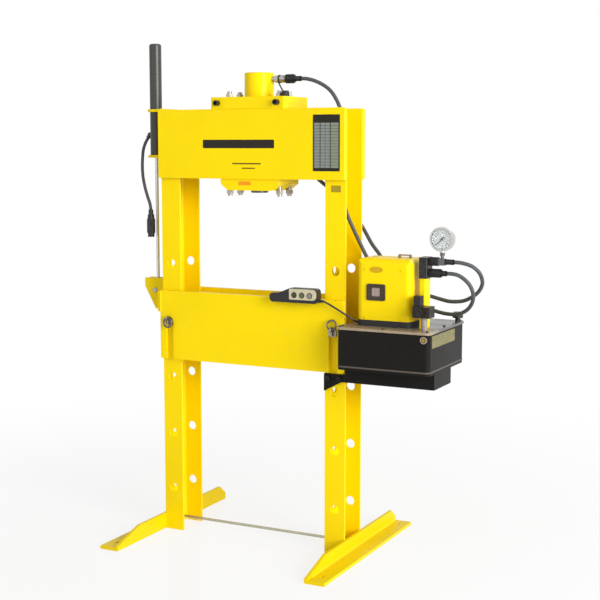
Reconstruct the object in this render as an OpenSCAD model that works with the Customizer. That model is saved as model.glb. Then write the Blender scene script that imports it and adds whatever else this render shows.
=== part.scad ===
// Workshop hydraulic press: welded H-frame, double-acting cylinder in the bolster, lifting bed on
// two cross pins, electric pump on a side shelf and a wired pendant. Origin on the floor at the
// ram's axis, +X to the right, +Y to the back, +Z up. Millimetres.

/* [Frame] */
// Height of the uprights and of the bolster's top edge
frame_h = 1890; // [1800:10:2000]
// Width across the bolster and bed plates
frame_w = 900; // [880:10:920]
// Clear width between the two uprights
daylight_w = 710; // [700:2:720]
// Front-to-back depth of the upright channels
channel_d = 170; // [168:2:174]
// Flange width of the upright channels
channel_w = 93; // [90:1:94]
// Web thickness of the upright channels
web_t = 8; // [6:1:10]
// Flange thickness of the upright channels
flange_t = 10; // [8:1:12]
// Thickness of the bolster and bed plates
plate_t = 20; // [16:1:24]
// Height of the bolster plates
bolster_h = 296; // [280:2:300]

/* [Bed] */
// Height of the bed plates
bed_h = 306; // [296:2:310]
// Top face of the bed above the floor, on its lower cross pins
bed_top = 1096; // [1090:1:1100]
// Diameter of the two cross pins
pin_d = 38; // [36:1:39]
// Diameter of the pin holes in the uprights
pin_hole_d = 40; // [40:1:42]
// Step between pin holes
hole_pitch = 255; // [250:1:256]

/* [Cylinder] */
// Outside diameter of the barrel
barrel_d = 127; // [120:1:127]
// Bore of the barrel
bore_d = 100; // [96:1:104]
// Diameter of the piston rod
ram_d = 80; // [70:1:84]
// Top of the barrel above the floor
barrel_top = 2044; // [2030:1:2060]
// Working stroke of the ram
stroke = 334; // [300:1:340]

/* [Pump] */
// Width of the reservoir
tank_w = 402; // [390:2:410]
// Front-to-back depth of the reservoir
tank_d = 410; // [400:2:420]
// Height of the reservoir without its lid
tank_h = 166; // [150:2:170]
// Width of the motor shroud
shroud_w = 240; // [236:2:264]
// Front-to-back depth of the motor shroud
shroud_d = 160; // [150:2:164]
// Height of the motor shroud
shroud_h = 266; // [250:2:270]
// Diameter of the pressure gauge
gauge_d = 100; // [90:1:104]

/* [Hoses and cords] */
// Outside diameter of the two main hoses
hose_d = 16; // [12:1:16]
// Outside diameter of the lift cylinder's hose
lift_hose_d = 14; // [10:1:14]
// Diameter of the pendant's cord
cord_d = 8; // [6:1:8]

/* [Hidden] */
$fn = 64;
eps = 0.01;

// Colours
yellow = "gold";
dark = "#1c1c1e";
steel = "silver";
grey = "dimgray";

// Frame
web_x = daylight_w / 2;
flange_edge_x = web_x + channel_w;
half_d = channel_d / 2;
pin_x = web_x + channel_w / 2;
first_hole_z = 195;
hole_rows = 5;
pinned_z = first_hole_z + 3 * hole_pitch;
bolster_z = frame_h - bolster_h;
tie_z = 40;
tie_d = 12;
nut_af = 19;
nut_t = 10;

// Feet, rolled angle with a sloped toe
foot_w = 90;
foot_h = 70;
foot_t = 14;
foot_front = -470;
foot_back = 458;
toe_h = 20;
cross_hole_d = 40;
anchor_x = 495;
anchor_y = 400;
anchor_d = 18;

// Head: two plates clamped over the bolster round the cylinder
head_top = [360, 220, 50];
head_bottom = [280, 190, 49];
head_tie_x = 121;
head_tie_y = 45;
head_tie_d = 20;
clamp_x = 143;

// Cylinder, from its top down
gland_h = 48;
gland_d = 110;
barrel_z = 1556;
bore_top = barrel_top - 40;
piston_h = 50;
piston_top = bore_top - 4;
saddle_z = 1533;
port_advance_z = barrel_top - 28;
port_retract_z = barrel_z + 84;
port_d = 9;
nipple_d = 24;
nipple_x = 60;
coupler_x = 90;
collar_x = 130;

// Bed
bed_gap = 0.5;
bed_z = bed_top - bed_h;
bed_y = half_d + bed_gap;
notch_r = pin_d / 2 + 0.3;
spacer_d = 40;
spacer_x = 325;
ring_r = 20;
ring_wire = 8;
ring_y = -124;
ring_z = pinned_z + 14;
ring_lean = 12;
lug_t = 8;

// Bed lift, on the left upright
lift_x = -527;
lift_d = 54;
lift_bore = 42;
lift_rod_d = 16;
lift_z0 = 1681;
lift_z1 = 2184;
lift_piston_z = 1800;
lift_port_z = 1785;
clamp_d = 74;
clamp_t = 12;
clevis_z = 1085;
clevis_d = 14;
wing_x = -582;
wing_z = 1000;
wing_heel_z = 1102;
wing_top = 1139;

// Shelf and reservoir
arm_t = 12;
arm_x1 = 850;
arm_z = 752;
arm_step_x = flange_edge_x + 8;
shelf_bolt_x = [web_x + 22, web_x + channel_w - 20];
arm_step_z = bed_z - 6;
tank_x = 464;
tank_z = 826;
tank_r = 20;
tank_wall = 4;
lid_t = 10;
lid_z = tank_z + tank_h;
lid_top = lid_z + lid_t;
breather = [846, 184];
breather_d = 44;
sight = [845, 972];
sight_d = 28;

// Motor, shroud and valve
shroud_x = 515;
shroud_y = -120;
shroud_z = lid_top + 12;
shroud_wall = 3;
motor_x = shroud_x + shroud_w / 2;
motor_y = shroud_y + shroud_d / 2;
motor_d = 130;
shaft_d = 20;
handle_x = 695;
valve_x = 782;
valve_y = -98;
valve_size = [24, 60, 203];
valve_head_x = 778;
valve_head_z = 1205;
valve_head_w = 36;
solenoid_x = 812;
solenoid_z = 1074;
port_y = -66;
port_a_z = 1273;
port_b_z = 1226;

// Pressure gauge
gauge_x = 866;
gauge_z = 1364;
gauge_depth = 34;
gauge_back = port_y + 17;

// Pendant, hooked over the bed's front plate
pendant_x = 122;
pendant_l = 225;
pendant_y = -107.5;
pendant_t = 36;
pendant_z = 1081;
button_x = [240, 276, 312];
button_z = 1114;
button_d = 20;
button_h = 12;
button_travel = 3;

// Routes, points chosen by hand
advance_route = [[200, 0, 2016], [228, 0, 2014], [264, 0, 2005], [304, 0, 1987], [338, 0, 1962],
    [364, 0, 1927], [382, 0, 1888], [394, 0, 1838], [398, 0, 1740], [398, 0, 1610],
    [402, 0, 1510], [414, 4, 1450], [436, 20, 1388], [460, 38, 1325],
    [486, 52, 1266], [522, 56, 1212], [574, 56, 1168], [636, 54, 1140], [702, 53, 1126],
    [767, 52, 1118], [814, 50, 1108], [863, 42, 1101], [920, 32, 1107], [962, 22, 1126],
    [996, 10, 1153], [1016, -8, 1190], [1010, -28, 1230], [984, -46, 1258], [945, -60, 1271],
    [915, -66, 1273]];
retract_route = [[190, 0, 1640], [212, 2, 1637], [233, 11, 1626], [249, 28, 1609],
    [263, 51, 1588], [283, 77, 1563], [310, 99, 1532], [346, 114, 1491], [389, 120, 1443],
    [434, 119, 1390],
    [482, 108, 1322], [524, 95, 1278], [562, 84, 1228], [602, 78, 1176], [650, 75, 1128],
    [706, 73, 1088], [764, 68, 1062], [814, 58, 1051], [864, 44, 1048], [908, 30, 1054],
    [948, 14, 1076], [976, -10, 1110], [986, -34, 1148], [974, -52, 1188], [940, -62, 1218],
    [910, -66, 1226], [885, -66, 1226]];
lift_route = [[-571, 0, 1770], [-584, -2, 1748], [-593, -7, 1718], [-594, -13, 1680],
    [-590, -22, 1635], [-580, -31, 1588], [-564, -40, 1544], [-547, -47, 1506], [-534, -50, 1478],
    [-529, -50, 1450]];
lead_route = [[367, -126, 1092], [385, -126, 1085], [410, -126, 1073], [435, -125, 1060],
    [455, -122, 1048]];
cord_route = [[455.6, -121.9, 1047.6], [475, -119, 1036], [494, -107, 1021], [503, -84, 1010],
    [504, -50, 1006.2], [504, 0, 1006.2], [510, 34, 1006.2], [528, 68, 1006.2],
    [555, 106, 1006.2]];
coil_pos = [612, 120];
coil_r = 44;
coil_turns = 3;
gland_x = 560;
gland_z = 1030.2;
mains_x = 712;
mains_z = 1034;
tail_route = [[568, 118, 1030.2], [565, 98, 1030.2], [562, 80, 1030.2], [560, 60, 1030.2]];

// ---- shared shapes ----

module box(lo, hi) {
    translate(lo) cube(hi - lo);
}

module rod_x(d, x0, x1, y, z) {
    translate([x0, y, z]) rotate([0, 90, 0]) cylinder(d = d, h = x1 - x0);
}

module rod_y(d, y0, y1, x, z) {
    translate([x, y1, z]) rotate([90, 0, 0]) cylinder(d = d, h = y1 - y0);
}

module rod_z(d, z0, z1, x = 0, y = 0) {
    translate([x, y, z0]) cylinder(d = d, h = z1 - z0);
}

// A flat outline drawn in X and Z, made t thick forwards from y
module plate_xz(y, t) {
    translate([0, y, 0]) rotate([90, 0, 0]) linear_extrude(t) children();
}

// A flat outline drawn in Y and Z, made t thick to the right from x
module plate_yz(x, t) {
    translate([x, 0, 0]) rotate([90, 0, 90]) linear_extrude(t) children();
}

module rounded_rect(size, r) {
    translate([r, 0]) square([size.x - 2 * r, size.y]);
    translate([0, r]) square([size.x, size.y - 2 * r]);
    for (x = [r, size.x - r], y = [r, size.y - r]) {
        translate([x, y]) circle(r);
    }
}

module root_fillet(r) {
    difference() {
        translate([-1, -1]) square(r + 1);
        translate([r, r]) circle(r);
    }
}

module hex_x(af, x0, x1, y, z) {
    translate([x0, y, z]) rotate([0, 90, 0]) cylinder(d = af / cos(30), h = x1 - x0, $fn = 6);
}

module hex_z(af, z0, z1, x, y) {
    translate([x, y, z0]) cylinder(d = af / cos(30), h = z1 - z0, $fn = 6);
}

// Unit vectors and ring frames for a round tube swept along a route
function unit(v) = v / norm(v);
function tangent(p, i) = unit(p[min(i + 1, len(p) - 1)] - p[max(i - 1, 0)]);
function square_to(v, t) = unit(v - (v * t) * t);
function normals(p, i = 0, prev = [0.31, 0.87, 0.38]) =
    let (n = square_to(prev, tangent(p, i)))
    i == len(p) - 1 ? [n] : concat([n], normals(p, i + 1, n));

module tube(route, d, sides = 10) {
    ns = normals(route);
    rings = [for (i = [0 : len(route) - 1])
        let (t = tangent(route, i), u = ns[i], w = cross(t, u))
        for (k = [0 : sides - 1])
            route[i] + d / 2 * (cos(360 * k / sides) * u + sin(360 * k / sides) * w)];
    last = (len(route) - 1) * sides;
    walls = [for (i = [0 : len(route) - 2], k = [0 : sides - 1])
        let (a = i * sides + k, b = i * sides + (k + 1) % sides)
        each [[a, b + sides, b], [a, a + sides, b + sides]]];
    ends = [[for (k = [0 : sides - 1]) k], [for (k = [sides - 1 : -1 : 0]) last + k]];
    polyhedron(points = rings, faces = concat(walls, ends), convexity = 8);
}

// ---- frame ----

module channel_section() {
    inner = half_d - flange_t;
    difference() {
        translate([0, -half_d]) square([channel_w, channel_d]);
        translate([web_t, -inner]) square([channel_w, 2 * inner]);
    }
    translate([web_t, -inner]) root_fillet(10);
    translate([web_t, inner]) mirror([0, 1]) root_fillet(10);
}

// Channel open to the right, drilled through its flanges and its web at each bed position
module upright() {
    color(yellow) difference() {
        translate([web_x, 0, 0]) linear_extrude(frame_h) channel_section();
        for (row = [0 : hole_rows - 1]) {
            z = first_hole_z + row * hole_pitch;
            rod_y(pin_hole_d, -half_d - 1, half_d + 1, pin_x, z);
            rod_x(cross_hole_d, web_x - 1, web_x + web_t + 1, 0, z);
        }
        rod_x(tie_d + 1, web_x - 1, web_x + web_t + 1, 0, tie_z);
    }
}

module upright_left() {
    translate([-web_x - flange_edge_x, 0, 0]) upright();
}

// The right upright is also drilled for the shelf's bolts
module upright_right() {
    difference() {
        upright();
        shelf_bolt_holes(half_d + 1);
    }
}

module foot() {
    color(yellow) difference() {
        union() {
            plate_yz(flange_edge_x, foot_t) polygon([[foot_front, 0], [foot_front, toe_h],
                [foot_front + 175, foot_h], [foot_back - 48, foot_h], [foot_back, 30],
                [foot_back, 0]]);
            translate([flange_edge_x, foot_front, 0]) cube([foot_w, foot_back - foot_front, foot_t]);
            translate([flange_edge_x + foot_t, foot_back - 20, foot_t]) rotate([90, 0, 0])
                linear_extrude(foot_back - foot_front - 60) root_fillet(8);
        }
        for (y = [-anchor_y, anchor_y]) {
            rod_z(anchor_d, -1, foot_t + 1, anchor_x, y);
        }
    }
}

// The left foot lies on the web of its channel, and the tie rod goes through both
module foot_left() {
    difference() {
        mirror([1, 0, 0]) foot();
        rod_x(tie_d + 1, -flange_edge_x - foot_t - 1, -flange_edge_x + 1, 0, tie_z);
    }
}

module foot_right() {
    foot();
}

module base_tie_rod() {
    left = -flange_edge_x - foot_t;
    right = web_x + web_t;
    color(grey) {
        rod_x(tie_d, left - 16, right + 16, 0, tie_z);
        hex_x(nut_af, left - nut_t, left, 0, tie_z);
        hex_x(nut_af, right, right + nut_t, 0, tie_z);
    }
}

module bolster_plate(y) {
    color(yellow) plate_xz(y, plate_t)
        translate([-frame_w / 2, bolster_z]) rounded_rect([frame_w, bolster_h], 5);
}

module bolster_front() {
    bolster_plate(-half_d);
}

module bolster_rear() {
    bolster_plate(half_d + plate_t);
}

// ---- head and cylinder ----

module head_tie_holes(z0, z1) {
    for (x = [-head_tie_x, head_tie_x], y = [-head_tie_y, head_tie_y]) {
        rod_z(head_tie_d + 1, z0, z1, x, y);
    }
}

module head_top_plate() {
    z1 = frame_h + head_top.z;
    color(yellow) difference() {
        translate([-head_top.x / 2, -head_top.y / 2, frame_h])
            linear_extrude(head_top.z) rounded_rect([head_top.x, head_top.y], 12);
        rod_z(barrel_d + 1, frame_h - 1, z1 + 1);
        head_tie_holes(frame_h - 1, z1 + 1);
        for (x = [-clamp_x, clamp_x]) {
            rod_y(16.4, -head_top.y / 2 - 1, -head_top.y / 2 + 40, x, frame_h + 25);
        }
    }
}

// Underside sloped up to both ends, like a flat-bottomed boat
module head_bottom_plate() {
    z0 = bolster_z - head_bottom.z;
    x1 = head_bottom.x / 2;
    color(yellow) difference() {
        plate_xz(head_bottom.y / 2, head_bottom.y) polygon([[-x1 + 34, z0], [x1 - 34, z0],
            [x1, z0 + 26], [x1, bolster_z], [-x1, bolster_z], [-x1, z0 + 26]]);
        rod_z(barrel_d + 0.2, z0 - 1, bolster_z + 1);
        head_tie_holes(z0 - 1, bolster_z + 1);
    }
}

module head_tie_rods() {
    z0 = bolster_z - head_bottom.z;
    z1 = frame_h + head_top.z;
    color(steel) for (x = [-head_tie_x, head_tie_x], y = [-head_tie_y, head_tie_y]) {
        rod_z(head_tie_d, z0 - 26, z1 + 26, x, y);
        hex_z(30, z0 - 16, z0, x, y);
        hex_z(30, z1, z1 + 16, x, y);
    }
}

module socket_screw(d, head_l, shank_l) {
    difference() {
        union() {
            translate([0, -head_l, 0]) rotate([-90, 0, 0]) cylinder(d = 1.5 * d, h = head_l);
            rotate([-90, 0, 0]) cylinder(d = d, h = shank_l);
        }
        translate([0, -head_l - 1, 0]) rotate([-90, 0, 0])
            cylinder(d = 0.86 * d / cos(30), h = head_l * 0.6, $fn = 6);
    }
}

module socket_screws() {
    color(dark) {
        for (x = [-clamp_x, clamp_x]) {
            translate([x, -head_top.y / 2, frame_h + 25]) socket_screw(16, 22, 36);
        }
        for (x = shelf_bolt_x, side = [-1, 1]) {
            translate([x, side * (half_d + arm_t), arm_z + 14])
                rotate([0, 0, side > 0 ? 180 : 0]) socket_screw(12, 12, arm_t + flange_t + 12);
        }
    }
}

module cylinder_barrel() {
    color(yellow) difference() {
        union() {
            rod_z(barrel_d, barrel_z, barrel_top - 4);
            translate([0, 0, barrel_top - 4]) cylinder(d1 = barrel_d, d2 = barrel_d - 8, h = 4);
        }
        rod_z(bore_d, barrel_z + gland_h, bore_top);
        rod_z(gland_d, barrel_z - 1, barrel_z + gland_h + eps);
        rod_z(port_d, bore_top - eps, port_advance_z);
        rod_x(port_d, 0, barrel_d / 2 + 1, 0, port_advance_z);
        rod_x(port_d, bore_d / 2 - 1, barrel_d / 2 + 1, 0, port_retract_z);
        for (z = [port_advance_z, port_retract_z]) {
            rod_x(nipple_d, nipple_x, barrel_d / 2 + 1, 0, z);
        }
        rod_z(60, barrel_top - 3, barrel_top + 1);
    }
}

module cylinder_gland() {
    color(steel) difference() {
        rod_z(gland_d, barrel_z, barrel_z + gland_h);
        rod_z(ram_d + 0.16, barrel_z - 1, barrel_z + gland_h + 1);
        for (side = [-1, 1]) {
            rod_z(7, barrel_z - 1, barrel_z + 10, side * (gland_d + ram_d) / 4, 0);
        }
    }
}

module ram() {
    color(steel) union() {
        rod_z(ram_d, saddle_z + 14, piston_top - piston_h + eps);
        difference() {
            rod_z(bore_d - 0.1, piston_top - piston_h, piston_top);
            for (z = [piston_top - 38, piston_top - 18]) {
                difference() {
                    rod_z(bore_d + 2, z, z + 6);
                    rod_z(bore_d - 6, z - 1, z + 7);
                }
            }
        }
        rod_z(34, saddle_z + 6, saddle_z + 15);
    }
}

// Grooved face that bears on the work
module ram_saddle() {
    color(dark) difference() {
        union() {
            rod_z(72, saddle_z, saddle_z + 3);
            rod_z(76, saddle_z + 3, saddle_z + 14);
        }
        rod_z(34.2, saddle_z + 6, saddle_z + 15);
        for (r = [12, 20, 28]) {
            difference() {
                rod_z(2 * r + 3, saddle_z - 1, saddle_z + 1.5);
                rod_z(2 * r, saddle_z - 2, saddle_z + 2);
            }
        }
    }
}

// Threaded nipple, hexagon and sleeve of one quick coupler, along +X from the barrel
module quick_coupler(z) {
    rod_x(nipple_d, nipple_x, coupler_x, 0, z);
    hex_x(27, coupler_x - 10, coupler_x + 6, 0, z);
    rod_x(28, coupler_x + 6, collar_x, 0, z);
    rod_x(32, coupler_x + 14, coupler_x + 32, 0, z);
}

module quick_couplers() {
    color(steel) {
        quick_coupler(port_advance_z);
        quick_coupler(port_retract_z);
    }
}

// Knurled collar and crimped ferrule at a hose end, along +X
module hose_end(x0, x1, x2, y, z, d = 37) {
    rod_x(d, x0, x1 - 5, y, z);
    rod_x(d - 5, x1 - 5, x1, y, z);
    rod_x(22, x1, x2, y, z);
}

module hose_fittings() {
    port_x = valve_head_x + valve_head_w;
    color(dark) {
        hose_end(collar_x, 172, 200, 0, port_advance_z);
        hose_end(collar_x, 164, 190, 0, port_retract_z, 34);
        rod_x(34, port_x, gauge_x - 14, port_y, port_a_z);
        rod_x(22, gauge_x + 14, 915, port_y, port_a_z);
        hose_end(port_x, 866, 885, port_y, port_b_z, 34);
    }
}

// Rubber cap on its moulded strap, set down on the top plate
module dust_cap() {
    cap = [158, -62];
    z0 = frame_h + head_top.z;
    color(dark) {
        difference() {
            rod_x(36, coupler_x + 7, coupler_x + 13, 0, port_advance_z);
            rod_x(28.2, coupler_x + 6, coupler_x + 14, 0, port_advance_z);
        }
        tube([[100, -17, 2012], [104, -26, 2008], [116, -38, 1993], [132, -48, 1974],
            [146, -56, 1959]], 6, 8);
        rod_z(32, z0, z0 + 20, cap.x, cap.y);
        rod_z(26, z0 + 20, z0 + 24, cap.x, cap.y);
    }
}

// ---- bed ----

module bed_outline() {
    difference() {
        translate([-frame_w / 2, bed_z]) rounded_rect([frame_w, bed_h], 5);
        for (side = [-1, 1]) {
            translate([side * pin_x, pinned_z]) circle(notch_r);
            translate([side * pin_x - notch_r, bed_z - 1])
                square([2 * notch_r, pinned_z - bed_z + 1]);
        }
    }
}

module bed_front() {
    color(yellow) plate_xz(-bed_y, plate_t) bed_outline();
}

module bed_rear() {
    color(yellow) plate_xz(bed_y + plate_t, plate_t) bed_outline();
}

module bed_spacers() {
    color(yellow) for (x = [-spacer_x, spacer_x], z = [bed_z + 46, bed_top - 46]) {
        rod_y(spacer_d, -bed_y, bed_y, x, z);
    }
}

module bed_lift_bracket() {
    end_x = -frame_w / 2;
    color(yellow) difference() {
        union() {
            box([end_x - 12, -bed_y - plate_t, wing_z - 1],
                [end_x, bed_y + plate_t, bed_top - 6]);
            for (side = [-1, 1]) {
                plate_xz(side * 20 + 6, 12) polygon([[end_x - 10, wing_z], [lift_x + 2, wing_z],
                    [wing_x, wing_heel_z], [wing_x, wing_top], [end_x - 10, wing_top]]);
            }
        }
        rod_y(clevis_d + 0.4, -30, 30, lift_x, clevis_z);
    }
}

// Cross pin with a flat lug for its pull ring
module bed_pin(side) {
    color(steel) difference() {
        union() {
            rod_y(pin_d, -112, 108, side * pin_x, pinned_z);
            translate([side * pin_x, 112, pinned_z]) rotate([90, 0, 0])
                cylinder(d1 = pin_d - 8, d2 = pin_d, h = 4);
            rod_x(20, side * pin_x - lug_t / 2, side * pin_x + lug_t / 2, ring_y, ring_z);
            translate([side * pin_x - lug_t / 2, ring_y, ring_z - 28])
                cube([lug_t, -112 - ring_y + eps, 38]);
        }
        rod_x(10.4, side * pin_x - lug_t, side * pin_x + lug_t, ring_y, ring_z);
    }
}

module bed_pin_left() {
    bed_pin(-1);
}

module bed_pin_right() {
    bed_pin(1);
}

module pull_ring(side, tilt) {
    color(dark) translate([side * pin_x, ring_y, ring_z]) rotate([tilt, 0, 0])
        translate([0, 0, ring_r]) rotate([90, 0, 0])
            rotate_extrude() translate([ring_r, 0]) circle(d = ring_wire);
}

module pull_ring_left() {
    pull_ring(-1, 180);
}

module pull_ring_right() {
    pull_ring(1, -ring_lean);
}

// ---- bed lift ----

module lift_barrel() {
    color(dark) difference() {
        union() {
            rod_z(lift_d, lift_z0, lift_z1 - 6, lift_x);
            translate([lift_x, 0, lift_z1 - 6]) cylinder(d1 = lift_d, d2 = lift_d - 12, h = 6);
            rod_x(18, lift_x - lift_d / 2 - 8, lift_x - lift_d / 2 + 3, 0, lift_port_z);
            translate([lift_x - lift_d / 2 - 8, 0, lift_port_z]) sphere(d = 20);
            translate([lift_x - lift_d / 2 - 8, 0, lift_port_z]) rotate([0, 212, 0])
                cylinder(d = 18, h = 17.7);
        }
        rod_z(lift_bore, lift_z0 + 29, lift_z1 - 20, lift_x);
        rod_z(lift_rod_d + 0.1, lift_z0 - 1, lift_z0 + 30, lift_x);
    }
}

module lift_mount() {
    x1 = -flange_edge_x;
    color(yellow) difference() {
        union() {
            box([x1 - 8, -half_d, lift_z0], [x1, half_d, frame_h + clamp_t / 2]);
            for (z = [lift_z0, frame_h - clamp_t / 2]) {
                box([lift_x, -clamp_d / 2, z], [x1 - 7, clamp_d / 2, z + clamp_t]);
                rod_z(clamp_d, z, z + clamp_t, lift_x);
            }
        }
        rod_z(lift_d + 0.1, lift_z0 - 1, frame_h + clamp_t, lift_x);
    }
}

module lift_rod() {
    color(steel) difference() {
        union() {
            rod_z(lift_rod_d, clevis_z + 10, lift_piston_z + 2, lift_x);
            rod_z(lift_bore - 0.1, lift_piston_z, lift_piston_z + 30, lift_x);
            rod_y(34, -12, 12, lift_x, clevis_z);
            rod_z(22, clevis_z + 8, clevis_z + 40, lift_x);
        }
        rod_y(clevis_d + 0.2, -13, 13, lift_x, clevis_z);
    }
}

module lift_clevis_pin() {
    color(steel) {
        rod_y(clevis_d, -32, 30, lift_x, clevis_z);
        rod_y(22, -31, -26, lift_x, clevis_z);
    }
}

module lift_hose() {
    color(dark) tube(lift_route, lift_hose_d);
}

module lift_coupler() {
    end = lift_route[len(lift_route) - 1];
    color(dark) {
        rod_z(22, end.z - 22, end.z, end.x, end.y);
        rod_z(30, end.z - 40, end.z - 22, end.x, end.y);
        rod_z(36, end.z - 105, end.z - 40, end.x, end.y);
        rod_z(30, end.z - 122, end.z - 105, end.x, end.y);
    }
}

module advance_hose() {
    color(dark) tube(advance_route, hose_d);
}

module retract_hose() {
    color(dark) tube(retract_route, hose_d);
}

// ---- shelf ----

module shelf_bolt_holes(reach) {
    for (x = shelf_bolt_x) {
        rod_y(13, -reach, reach, x, arm_z + 14);
    }
}

module shelf_arm(side) {
    y = side > 0 ? half_d + arm_t : -half_d;
    color(dark) difference() {
        plate_xz(y, arm_t) polygon([[web_x + 1, arm_z - 43], [web_x + 1, arm_step_z],
            [arm_step_x, arm_step_z], [arm_step_x, tank_z], [arm_x1, tank_z], [arm_x1, arm_z],
            [web_x + 82, arm_z]]);
        shelf_bolt_holes(half_d + arm_t + 1);
    }
}

module shelf_arm_front() {
    shelf_arm(-1);
}

module shelf_arm_rear() {
    shelf_arm(1);
}

module shelf_cross_plates() {
    color(dark) {
        box([arm_x1 - 10, -half_d, arm_z], [arm_x1, half_d, tank_z]);
        box([arm_step_x + 2, -half_d, arm_z + 20], [arm_step_x + 12, half_d, tank_z]);
    }
}

// ---- pump ----

module reservoir() {
    color(dark) difference() {
        union() {
            translate([tank_x, -tank_d / 2, tank_z])
                linear_extrude(tank_h) rounded_rect([tank_w, tank_d], tank_r);
            rod_y(26, tank_d / 2 - 1, tank_d / 2 + 4, tank_x + 60, tank_z + 24);
        }
        translate([tank_x + tank_wall, tank_wall - tank_d / 2, tank_z + tank_wall])
            linear_extrude(tank_h)
                rounded_rect([tank_w - 2 * tank_wall, tank_d - 2 * tank_wall], tank_r - tank_wall);
    }
    color(steel) translate([tank_x + 60, tank_d / 2 + 4, tank_z + 24]) rotate([-90, 0, 0])
        cylinder(d = 19 / cos(30), h = 8, $fn = 6);
    oil_sight();
}

// Round oil sight in the reservoir's front, its window set back in a turned ring
module oil_sight() {
    front = -tank_d / 2;
    color("lightgrey") difference() {
        rod_y(sight_d, front - 8, front + 1, sight[0], sight[1]);
        rod_y(sight_d - 10, front - 9, front - 4, sight[0], sight[1]);
    }
}

module reservoir_lid() {
    color(steel) difference() {
        translate([tank_x - 4, -tank_d / 2 - 4, lid_z])
            linear_extrude(lid_t) rounded_rect([tank_w + 8, tank_d + 8], tank_r);
        rod_z(shaft_d + 16, lid_z - 1, lid_top + 1, motor_x, motor_y);
    }
}

module breather_cap() {
    color(dark) {
        rod_z(22, lid_top, lid_top + 14, breather.x, breather.y);
        rod_z(breather_d, lid_top + 14, lid_top + 34, breather.x, breather.y);
        rod_z(breather_d - 8, lid_top + 34, lid_top + 38, breather.x, breather.y);
    }
}

module pump_element() {
    color(grey) difference() {
        union() {
            rod_z(110, lid_z - 90, lid_z, motor_x, motor_y);
            rod_z(40, lid_z - 140, lid_z - 89, motor_x + 30, motor_y);
        }
        rod_z(shaft_d + 0.1, lid_z - 60, lid_z + 1, motor_x, motor_y);
    }
}

module motor_shroud_form(inset) {
    w = shroud_w - 2 * inset;
    d = shroud_d - 2 * inset;
    h = shroud_h - inset;
    r = 26 - inset;
    translate([shroud_x + inset, shroud_y + inset, shroud_z]) intersection() {
        linear_extrude(h) rounded_rect([w, d], r);
        translate([0, d, -r]) rotate([90, 0, 0])
            linear_extrude(d) rounded_rect([w, h + r], r);
        translate([0, 0, -r]) rotate([90, 0, 90])
            linear_extrude(w) rounded_rect([d, h + r], r);
    }
}

module motor_shroud() {
    color(yellow) difference() {
        motor_shroud_form(0);
        translate([0, 0, -eps]) motor_shroud_form(shroud_wall);
        for (x = [-75 : 15 : 75]) {
            box([motor_x + x - 3, shroud_y + shroud_d - 10, shroud_z + 130],
                [motor_x + x + 3, shroud_y + shroud_d + 1, shroud_z + 210]);
        }
    }
}

module motor_body() {
    color(grey) difference() {
        union() {
            translate([shroud_x + shroud_wall, shroud_y + shroud_wall, lid_top]) linear_extrude(20)
                rounded_rect([shroud_w - 2 * shroud_wall, shroud_d - 2 * shroud_wall], 23);
            rod_z(motor_d, lid_top + 15, lid_top + 190, motor_x, motor_y);
            for (a = [0 : 30 : 330]) {
                translate([motor_x, motor_y, lid_top + 40]) rotate([0, 0, a])
                    translate([motor_d / 2 - 4, -2, 0]) cube([9, 4, 130]);
            }
        }
        rod_z(shaft_d + 0.1, lid_top - 1, lid_top + 191, motor_x, motor_y);
        rod_z(motor_d - 30, lid_top + 40, lid_top + 165, motor_x, motor_y);
    }
}

// Shaft, rotor and cooling fan turning together
module motor_rotor() {
    color(steel) {
        rod_z(shaft_d, lid_z - 58, lid_top + 226, motor_x, motor_y);
        rod_z(motor_d - 36, lid_top + 46, lid_top + 158, motor_x, motor_y);
        rod_z(34, lid_top + 198, lid_top + 222, motor_x, motor_y);
        for (a = [0 : 60 : 300]) {
            translate([motor_x, motor_y, lid_top + 200]) rotate([0, 0, a])
                translate([12, 0, 8]) rotate([30, 0, 0]) translate([0, -9, -1]) cube([48, 18, 2]);
        }
    }
}

module lifting_handle() {
    z = shroud_z + shroud_h;
    color("tan") plate_xz(motor_y + 6, 12) difference() {
        translate([handle_x - 28, z]) rounded_rect([56, 14], 3);
        translate([handle_x - 20, z - 1]) square([40, 10]);
    }
}

module valve_manifold() {
    color(yellow) translate([valve_x, valve_y, lid_top])
        linear_extrude(valve_size.z) rounded_rect([valve_size.x, valve_size.y], 4);
}

module valve_head() {
    color(dark)
        translate([valve_head_x, valve_y - 3, valve_head_z])
            linear_extrude(85) rounded_rect([valve_head_w, valve_size.y + 6], 5);
}

module solenoid_coil() {
    front = valve_y - 60;
    color(dark) {
        box([solenoid_x - 36, front, solenoid_z - 22], [solenoid_x + 36, valve_y, solenoid_z + 23]);
        rod_y(30, front - 24, front, solenoid_x, solenoid_z);
        rod_y(18, front - 30, front - 24, solenoid_x, solenoid_z);
        box([solenoid_x - 36, front + 10, solenoid_z + 23],
            [solenoid_x - 8, valve_y - 11, solenoid_z + 64]);
    }
    color("lightgrey") rod_z(26, lid_top, solenoid_z - 22, solenoid_x + 6, front + 24);
}

// ---- gauge ----

module gauge_adaptor() {
    color(steel) {
        box([gauge_x - 14, port_y - 14, port_a_z - 14], [gauge_x + 14, port_y + 14, port_a_z + 12]);
        rod_z(14, port_a_z + 12, gauge_z - gauge_d / 2 - 6, gauge_x, port_y);
        hex_z(19, gauge_z - gauge_d / 2 - 16, gauge_z - gauge_d / 2 - 4, gauge_x, port_y);
    }
}

module gauge_ring(d, y0, y1) {
    rod_y(d, y0, y1, gauge_x, gauge_z);
}

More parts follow.
